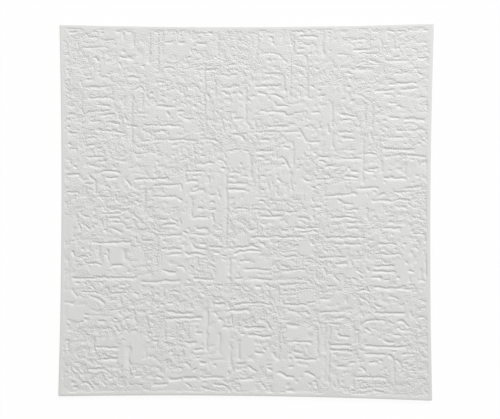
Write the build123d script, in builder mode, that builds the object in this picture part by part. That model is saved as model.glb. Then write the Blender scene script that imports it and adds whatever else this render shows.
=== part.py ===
from build123d import *
from math import atan2, degrees
import os

os.makedirs("parts", exist_ok=True)

# Polystyrene ceiling tile, pressed hot from one sheet of foam.
# It lies with its glue face down, the middle of that face at the origin.
# Millimetres, +Z out of the patterned face.

# Outline
tile_side = 500.0  # corner to corner, before the corners are rounded
side_hollow = 3.6  # the foam shrinks as it cools, so the middle of each side draws in
corner_radius = 2.5

# Sheet and rim
tile_thickness = 3.5
edge_round = 0.8
rim_width = 5.0
field_drop = 0.3  # from the rim down to the patterned field
field_draft = 40.0  # degrees, so that the press lets go of the foam

# Pressed strokes, cut across: a steep wall, a narrow floor and a long ramp, like a trowel's mark
groove_depth = 1.2  # below the field
steep_run = 0.9
floor_width = 0.7
ramp_run = 3.0
end_run = 4.0  # how far each end slopes up
bow_draft = 45.0

# The boldest strokes, from end to end, each as x1, y1, x2, y2 from the middle of the tile
top_left_strokes = [
    (-220, 220, -182, 218),
    (-215, 165, -180, 166),
    (-211, 151, -179, 152),
    (-214, 132, -180, 134),
    (-238, 142, -225, 140),
    (-238, 104, -224, 104),
    (-220, 97, -198, 97),
    (-210, 120, -192, 120),
    (-186, 118, -166, 117),
    (-198, 110, -160, 103),
    (-136, 115, -84, 114),
    (-118, 140, -91, 139),
    (-121, 172, -106, 172),
    (-157, 179, -140, 179),
    (-142, 94, -104, 96),
    (-60, 96, -33, 94),
    (-65, 224, -50, 224),
    (-66, 188, -34, 189),
    (-34, 180, -8, 181),
    (-27, 194, -8, 195),
    (-31, 165, -7, 167),
    (-16, 124, -3, 124),
    (-83, 124, -66, 122),
    (-18, 103, -3, 102),
    (-25, 81, -4, 81),
    (-127, 242, -127, 196),
    (-115, 240, -115, 186),
    (-148, 240, -148, 218),
    (-218, 162, -218, 144),
]
top_right_strokes = [
    (50, 204, 59, 196),
    (26, 183, 52, 183),
    (14, 167, 48, 167),
    (42, 141, 60, 140),
    (20, 134, 56, 132),
    (30, 113, 60, 113),
    (12, 106, 43, 107),
    (50, 107, 74, 106),
    (20, 95, 34, 95),
    (14, 80, 40, 81),
    (68, 194, 84, 192),
    (73, 233, 97, 233),
    (138, 228, 162, 229),
    (144, 215, 170, 215),
    (152, 210, 180, 210),
    (147, 197, 163, 198),
    (184, 201, 220, 200),
    (139, 189, 171, 189),
    (197, 183, 217, 186),
    (189, 169, 230, 171),
    (171, 160, 200, 161),
    (206, 162, 232, 165),
    (228, 151, 243, 151),
    (183, 156, 196, 156),
    (128, 129, 150, 126),
    (190, 126, 206, 125),
    (210, 122, 240, 122),
    (200, 108, 241, 108),
    (180, 99, 219, 99),
    (184, 83, 228, 83),
    (228, 203, 243, 203),
    (123, 105, 147, 106),
    (84, 93, 101, 93),
    (62, 214, 62, 148),
    (66, 240, 66, 206),
    (185, 200, 185, 178),
    (161, 150, 161, 114),
    (171, 150, 171, 110),
    (118, 148, 118, 110),
    (3, 168, 3, 116),
]
bottom_left_strokes = [
    (-212, 72, -187, 73),
    (-209, 61, -191, 59),
    (-174, 68, -158, 66),
    (-240, 48, -221, 48),
    (-240, 25, -221, 24),
    (-197, 19, -173, 18),
    (-181, 1, -154, 1),
    (-192, -5, -165, -4),
    (-180, -22, -163, -29),
    (-206, -43, -150, -43),
    (-212, -70, -190, -72),
    (-150, 77, -128, 77),
    (-148, 42, -100, 44),
    (-121, 34, -88, 35),
    (-125, 19, -88, 19),
    (-115, -33, -82, -33),
    (-112, -50, -82, -51),
    (-110, -81, -90, -83),
    (-66, 64, -40, 64),
    (-80, 40, -61, 40),
    (-73, 27, -53, 28),
    (-20, 52, -3, 52),
    (-22, 37, 5, 37),
    (-21, 29, 4, 29),
    (-65, -24, -47, -24),
    (-70, -31, -46, -32),
    (-48, -48, -27, -48),
    (-70, -50, -50, -51),
    (-232, -91, -142, -90),
    (-138, -95, -84, -94),
    (-220, -109, -196, -109),
    (-184, -111, -158, -111),
    (-193, -159, -176, -159),
    (-198, -182, -168, -185),
    (-197, -200, -170, -198),
    (-210, -212, -186, -213),
    (-149, -222, -135, -219),
    (-105, -136, -67, -137),
    (-106, -144, -55, -143),
    (-68, -91, -41, -90),
    (-30, -155, -11, -155),
    (-80, -177, -62, -177),
    (-60, -222, -25, -222),
    (-116, -56, -116, -78),
    (-193, -44, -193, -68),
    (-18, -60, -18, -86),
    (-48, -128, -48, -188),
]
bottom_right_strokes = [
    (11, 1, 28, 3),
    (8, -35, 80, -34),
    (22, -7, 52, -7),
    (-11, -48, 20, -47),
    (0, -77, 38, -78),
    (66, -22, 100, -21),
    (50, -54, 70, -53),
    (48, -79, 82, -77),
    (128, 81, 148, 82),
    (126, 70, 160, 70),
    (150, 76, 178, 76),
    (196, 75, 216, 75),
    (164, 58, 177, 58),
    (96, 73, 114, 72),
    (95, 43, 122, 45),
    (184, 45, 215, 44),
    (147, 31, 180, 32),
    (196, 27, 228, 27),
    (105, 21, 150, 23),
    (168, 15, 200, 15),
    (134, -15, 160, -15),
    (136, -23, 152, -23),
    (106, -35, 161, -34),
    (120, -43, 158, -43),
    (176, -43, 202, -43),
    (184, -22, 210, -22),
    (171, -57, 209, -56),
    (97, -61, 140, -60),
    (172, -72, 200, -72),
    (170, -79, 202, -79),
    (8, -90, 40, -91),
    (-11, -204, 4, -204),
    (0, -155, 30, -155),
    (6, -165, 38, -167),
    (64, -174, 90, -173),
    (66, -196, 98, -197),
    (48, -99, 84, -96),
    (54, -124, 86, -125),
    (45, -214, 68, -222),
    (100, -116, 118, -116),
    (100, -134, 136, -133),
    (110, -149, 130, -150),
    (148, -105, 166, -104),
    (170, -100, 224, -102),
    (172, -134, 215, -135),
    (160, -178, 218, -179),
    (160, -189, 190, -189),
    (144, -218, 192, -222),
    (122, -206, 138, -206),
    (150, -235, 174, -233),
    (99, -152, 99, -192),
    (110, -190, 110, -228),
    (164, 8, 164, -10),
    (93, 6, 93, -13),
]

# Bowed strokes, each as x1, y1, x2, y2 and how far the middle of the bow stands out
bowed_strokes = [
    (22, 207, 49, 204, 3.0),
    (34, 155, 52, 149, 2.0),
    (-198, 51, -164, 50, 2.5),
    (-164, 43, -151, 30, 2.5),
    (-70, -10, -46, -11, 3.0),
    (-16, 2, 8, 1, 2.0),
    (-15, -57, 24, -55, 3.0),
    (133, 46, 152, 44, 1.5),
    (-14, -126, 42, -126, 3.5),
    (154, -151, 190, -147, 6.0),
    (191, -190, 201, -202, 2.5),
]

half_side = tile_side / 2
pattern_scale = tile_side / 500
field_level = tile_thickness - field_drop
groove_width = steep_run + floor_width + ramp_run
floor_shift = (ramp_run - steep_run) / 2
field_plane = Plane.XY.offset(field_level)
floor_plane = Plane.XY.offset(field_level - groove_depth)
straight_strokes = top_left_strokes + top_right_strokes + bottom_left_strokes + bottom_right_strokes


def pointed_outline(half_run, width, shift, turn):
    """Trowel mark seen from above: even sides that run out to a point at both ends."""
    point = end_run * width / groove_width
    return Polygon(
        (-half_run, shift),
        (point - half_run, shift - width / 2),
        (half_run - point, shift - width / 2),
        (half_run, shift),
        (half_run - point, shift + width / 2),
        (point - half_run, shift + width / 2),
        rotation=turn,
        align=None,
    )


with BuildPart() as tile:
    # Sheet with four hollow sides, its upper edge rounded by the press
    with BuildSketch() as outline:
        with BuildLine():
            SagittaArc((-half_side, -half_side), (half_side, -half_side), side_hollow)
            SagittaArc((half_side, -half_side), (half_side, half_side), side_hollow)
            SagittaArc((half_side, half_side), (-half_side, half_side), side_hollow)
            SagittaArc((-half_side, half_side), (-half_side, -half_side), side_hollow)
        make_face()
        fillet(outline.vertices(), corner_radius)
    extrude(amount=tile_thickness)
    fillet(tile.faces().sort_by(Axis.Z)[-1].edges(), edge_round)

    # Field inside the rim, pressed a little lower
    with BuildSketch(Plane.XY.offset(tile_thickness)):
        add(outline.sketch)
        offset(amount=-rim_width, mode=Mode.REPLACE)
    extrude(amount=field_drop, dir=(0, 0, -1), taper=field_draft, mode=Mode.SUBTRACT)

    # Straight strokes, a steep wall on the left of the way they run and a long ramp on the right
    strokes = []
    for x1, y1, x2, y2 in straight_strokes:
        start = Vector(x1, y1) * pattern_scale
        run = Vector(x2, y2) * pattern_scale - start
        turn = degrees(atan2(run.Y, run.X))
        with BuildPart(mode=Mode.PRIVATE) as stroke:
            with BuildSketch(field_plane):
                with Locations(start + run / 2):
                    pointed_outline(run.length / 2, groove_width, 0, turn)
            with BuildSketch(floor_plane):
                with Locations(start + run / 2):
                    pointed_outline(run.length / 2 - end_run, floor_width, floor_shift, turn)
            loft(ruled=True)
        strokes.append(stroke.part)

    # Bowed strokes, round-ended along an arc, with even walls
    for x1, y1, x2, y2, bow in bowed_strokes:
        start = Vector(x1, y1) * pattern_scale
        end = Vector(x2, y2) * pattern_scale
        with BuildSketch(field_plane, mode=Mode.PRIVATE) as plan:
            with BuildLine():
                spine = SagittaArc(start, end, bow)
            SlotArc(spine.edge(), groove_width)
        strokes.append(extrude(plan.sketch, groove_depth, dir=(0, 0, -1), taper=bow_draft, mode=Mode.PRIVATE))
    add(strokes, mode=Mode.SUBTRACT)

tile.part.label = "tile"
export_step(tile.part, "parts/tile.step")
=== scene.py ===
"""Square polystyrene ceiling tile, pressed hot with a trowelled-plaster relief, pattern up."""

import math

import bpy
import numpy as np
from mathutils import Matrix, Vector


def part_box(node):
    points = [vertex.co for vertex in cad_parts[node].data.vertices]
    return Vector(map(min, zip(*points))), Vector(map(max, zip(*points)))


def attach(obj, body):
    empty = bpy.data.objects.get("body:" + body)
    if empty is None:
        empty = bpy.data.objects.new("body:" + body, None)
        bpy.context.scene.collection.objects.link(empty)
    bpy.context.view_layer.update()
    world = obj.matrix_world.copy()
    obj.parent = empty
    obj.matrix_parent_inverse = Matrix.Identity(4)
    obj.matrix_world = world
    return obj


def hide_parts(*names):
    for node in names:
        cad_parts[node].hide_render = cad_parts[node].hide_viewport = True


bl_info = {
    "name": "Pressed foam ceiling tile",
    "version": (1, 0, 0),
    "blender": (4, 5, 0),
    "location": "3D View > Sidebar > Ceiling tile",
    "description": "Makes a foam ceiling tile with a trowelled-plaster relief, and its stage",
    "category": "Object",
}

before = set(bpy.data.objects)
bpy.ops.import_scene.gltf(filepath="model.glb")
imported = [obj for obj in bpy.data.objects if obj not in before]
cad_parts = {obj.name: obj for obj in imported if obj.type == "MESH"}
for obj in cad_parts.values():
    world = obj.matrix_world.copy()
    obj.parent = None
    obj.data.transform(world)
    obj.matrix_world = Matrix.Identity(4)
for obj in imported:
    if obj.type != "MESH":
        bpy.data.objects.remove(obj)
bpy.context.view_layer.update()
TILE_LOW, TILE_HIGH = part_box("tile")

# Millimetres in a metre: the relief is worked out in millimetres, the mesh is in metres
MM = 1000.0

# Trowel strokes of the relief, in millimetres from the middle of the tile.
# Level ones run from x1, y1 to x2, y2, left to right, and their steep wall is on the upper side.
LEVEL_STROKES = (
    (-220, 220, -182, 218), (-215, 165, -180, 166), (-211, 151, -179, 152), (-214, 132, -180, 134),
    (-238, 142, -225, 140), (-238, 104, -224, 104), (-220, 97, -198, 97), (-210, 120, -192, 120),
    (-186, 118, -166, 117), (-198, 110, -160, 103), (-136, 115, -84, 114), (-118, 140, -91, 139),
    (-121, 172, -106, 172), (-157, 179, -140, 179), (-142, 94, -104, 96), (-60, 96, -33, 94),
    (-65, 224, -50, 224), (-66, 188, -34, 189), (-34, 180, -8, 181), (-27, 194, -8, 195),
    (-31, 165, -7, 167), (-16, 124, -3, 124), (-83, 124, -66, 122), (-18, 103, -3, 102),
    (-25, 81, -4, 81), (50, 204, 59, 196), (26, 183, 52, 183), (14, 167, 48, 167), (42, 141, 60, 140),
    (20, 134, 56, 132), (30, 113, 60, 113), (12, 106, 43, 107), (50, 107, 74, 106), (20, 95, 34, 95),
    (14, 80, 40, 81), (68, 194, 84, 192), (73, 233, 97, 233), (138, 228, 162, 229),
    (144, 215, 170, 215), (152, 210, 180, 210), (147, 197, 163, 198), (184, 201, 220, 200),
    (139, 189, 171, 189), (197, 183, 217, 186), (189, 169, 230, 171), (171, 160, 200, 161),
    (206, 162, 232, 165), (228, 151, 243, 151), (183, 156, 196, 156), (128, 129, 150, 126),
    (190, 126, 206, 125), (210, 122, 240, 122), (200, 108, 241, 108), (180, 99, 219, 99),
    (184, 83, 228, 83), (228, 203, 243, 203), (123, 105, 147, 106), (84, 93, 101, 93),
    (-212, 72, -187, 73), (-209, 61, -191, 59), (-174, 68, -158, 66), (-240, 48, -221, 48),
    (-240, 25, -221, 24), (-197, 19, -173, 18), (-181, 1, -154, 1), (-192, -5, -165, -4),
    (-180, -22, -163, -29), (-206, -43, -150, -43), (-212, -70, -190, -72), (-150, 77, -128, 77),
    (-148, 42, -100, 44), (-121, 34, -88, 35), (-125, 19, -88, 19), (-115, -33, -82, -33),
    (-112, -50, -82, -51), (-110, -81, -90, -83), (-66, 64, -40, 64), (-80, 40, -61, 40),
    (-73, 27, -53, 28), (-20, 52, -3, 52), (-22, 37, 5, 37), (-21, 29, 4, 29), (-65, -24, -47, -24),
    (-70, -31, -46, -32), (-48, -48, -27, -48), (-70, -50, -50, -51), (-232, -91, -142, -90),
    (-138, -95, -84, -94), (-220, -109, -196, -109), (-184, -111, -158, -111), (-193, -159, -176, -159),
    (-198, -182, -168, -185), (-197, -200, -170, -198), (-210, -212, -186, -213),
    (-149, -222, -135, -219), (-105, -136, -67, -137), (-106, -144, -55, -143), (-68, -91, -41, -90),
    (-30, -155, -11, -155), (-80, -177, -62, -177), (-60, -222, -25, -222), (11, 1, 28, 3),
    (8, -35, 80, -34), (22, -7, 52, -7), (-11, -48, 20, -47), (0, -77, 38, -78), (66, -22, 100, -21),
    (50, -54, 70, -53), (48, -79, 82, -77), (128, 81, 148, 82), (126, 70, 160, 70), (150, 76, 178, 76),
    (196, 75, 216, 75), (164, 58, 177, 58), (96, 73, 114, 72), (95, 43, 122, 45), (184, 45, 215, 44),
    (147, 31, 180, 32), (196, 27, 228, 27), (105, 21, 150, 23), (168, 15, 200, 15),
    (134, -15, 160, -15), (136, -23, 152, -23), (106, -35, 161, -34), (120, -43, 158, -43),
    (176, -43, 202, -43), (184, -22, 210, -22), (171, -57, 209, -56), (97, -61, 140, -60),
    (172, -72, 200, -72), (170, -79, 202, -79), (8, -90, 40, -91), (-11, -204, 4, -204),
    (0, -155, 30, -155), (6, -165, 38, -167), (64, -174, 90, -173), (66, -196, 98, -197),
    (48, -99, 84, -96), (54, -124, 86, -125), (45, -214, 68, -222), (100, -116, 118, -116),
    (100, -134, 136, -133), (110, -149, 130, -150), (148, -105, 166, -104), (170, -100, 224, -102),
    (172, -134, 215, -135), (160, -178, 218, -179), (160, -189, 190, -189), (144, -218, 192, -222),
    (122, -206, 138, -206), (150, -235, 174, -233), (-211, 233, -196, 233), (-190, 228, -174, 230),
    (-217, 176, -203, 176), (-198, 142, -180, 140), (-194, 129, -174, 128), (-238, 130, -226, 130),
    (-168, 206, -148, 204), (-240, 158, -231, 156), (-214, 86, -200, 89), (-104, 95, -62, 95),
    (-133, 108, -124, 104), (-194, 179, -184, 179), (-60, 101, -50, 100), (68, 209, 80, 209),
    (70, 216, 80, 216), (64, 131, 80, 133), (163, 200, 180, 198), (126, 192, 139, 190),
    (141, 158, 152, 155), (90, 132, 101, 132), (210, 117, 228, 117), (228, 224, 243, 226),
    (128, 99, 147, 97), (133, 184, 144, 184), (92, 191, 100, 189), (98, 153, 108, 153),
    (-187, 44, -168, 44), (-216, 36, -200, 36), (-183, -10, -165, -10), (-160, -23, -150, -23),
    (-224, -64, -210, -62), (-117, -12, -103, -12), (-139, -39, -116, -41), (-100, -57, -83, -57),
    (-36, 69, -27, 67), (-77, 54, -54, 53), (-46, 22, -38, 21), (-40, -22, -31, -25),
    (-21, -47, -14, -51), (-80, -57, -48, -58), (38, 1, 52, 1), (54, -1, 74, -1), (5, -24, 19, -24),
    (-6, -66, 10, -66), (70, -8, 86, -9), (52, -61, 72, -60), (48, -26, 59, -26), (64, 15, 75, 15),
    (21, 14, 30, 13), (16, 73, 28, 72), (24, 68, 37, 68), (44, 71, 54, 71), (48, -72, 62, -75),
    (184, 72, 196, 75), (216, 76, 241, 73), (200, 58, 212, 58), (140, 54, 152, 53), (212, 30, 236, 34),
    (204, 17, 222, 15), (200, 8, 218, 6), (89, 6, 103, 6), (129, 12, 146, 9), (115, -8, 150, -8),
    (168, -23, 182, -21), (172, -18, 180, -18), (190, -6, 200, -6), (191, -14, 200, -14),
    (120, -70, 138, -70), (223, -29, 241, -29), (228, -9, 240, -11), (233, 46, 241, 46),
    (-150, -112, -140, -112), (-200, -116, -188, -124), (-216, -146, -208, -146),
    (-197, -149, -186, -149), (-152, -161, -143, -161), (-128, -138, -119, -138),
    (-100, -108, -86, -108), (-122, -175, -114, -175), (-100, -226, -82, -224),
    (-124, -233, -103, -232), (-13, -90, 0, -89), (-40, -124, -24, -123), (-22, -133, 8, -132),
    (-66, -163, -54, -163), (-68, -186, -54, -185), (6, -206, 18, -215), (-6, -224, 14, -223),
    (47, -111, 72, -111), (60, -133, 86, -134), (66, -185, 79, -190), (30, -205, 38, -205),
    (56, -151, 74, -151), (20, -109, 28, -109), (118, -142, 136, -141), (152, -112, 170, -123),
    (184, -170, 202, -173), (140, -201, 150, -200), (166, -200, 180, -200), (172, -237, 188, -240),
    (210, -188, 228, -188), (112, -184, 148, -186), (112, -177, 145, -178), (123, -163, 140, -167),
    (190, -112, 208, -116), (-221, -4, -207, -10), (-219, -16, -205, -28), (-226, -37, -222, -42),
    (-210, 48, -201, 41), (-124, -22, -112, -30),
)
# Upright ones, each as x, top and bottom, with their steep wall on the right
UPRIGHT_STROKES = (
    (-127, 242, 196), (-115, 240, 186), (-148, 240, 218), (-218, 162, 144), (62, 214, 148),
    (66, 240, 206), (185, 200, 178), (161, 150, 114), (171, 150, 110), (118, 148, 110), (3, 168, 116),
    (-116, -56, -78), (-193, -44, -68), (-18, -60, -86), (-48, -128, -188), (99, -152, -192),
    (110, -190, -228), (164, 8, -10), (93, 6, -13), (-162, 241, 228), (-150, 160, 85), (-136, 160, 135),
    (18, 240, 200), (53, 184, 156), (-38, 178, 150), (-34, 240, 205), (-52, 200, 130), (83, 180, 150),
    (9, 185, 170), (-19, 117, 106), (199, 235, 212), (105, 240, 205), (84, 210, 150), (243, 150, 135),
    (159, 100, 35), (-158, -50, -68), (-132, 30, 0), (-190, -10, -25), (-22, 60, -45), (9, 80, 42),
    (66, 85, 60), (64, 55, 25), (-47, 50, 35), (-77, 65, 40), (-69, 20, -10), (-18, -86, -100),
    (33, 45, 25), (59, 40, 20), (184, 70, 50), (240, 30, -10), (140, -46, -62), (97, -72, -90),
    (-105, -150, -175), (-164, -110, -128), (-200, -170, -190), (-152, -180, -235), (-128, -140, -170),
    (-40, -110, -130), (-31, -160, -190), (-16, -175, -210), (47, -100, -125), (48, -150, -200),
    (-5, -170, -200), (-80, -185, -200), (109, -145, -190), (115, -150, -230), (137, -112, -122),
    (148, -150, -178), (153, -160, -178), (201, -195, -225), (210, -195, -212), (147, -215, -235),
)
# Bowed ones, level but for the last number, how far the middle stands up
BOWED_STROKES = (
    (34, 155, 52, 149, 2.0), (-198, 51, -164, 50, 2.5), (-164, 43, -151, 30, 2.5),
    (-70, -10, -46, -11, 3.0), (-16, 2, 8, 1, 2.0), (-15, -57, 24, -55, 3.0), (133, 46, 152, 44, 1.5),
    (-14, -126, 42, -126, 3.5), (154, -151, 190, -147, 6.0), (191, -190, 201, -202, 2.5),
    (-110, 190, -91, 189, 2.5), (-118, 104, -104, 105, 2.5), (-182, -75, -162, -75, 2.5),
    (-112, -21, -88, -20, 2.5),
)

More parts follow.
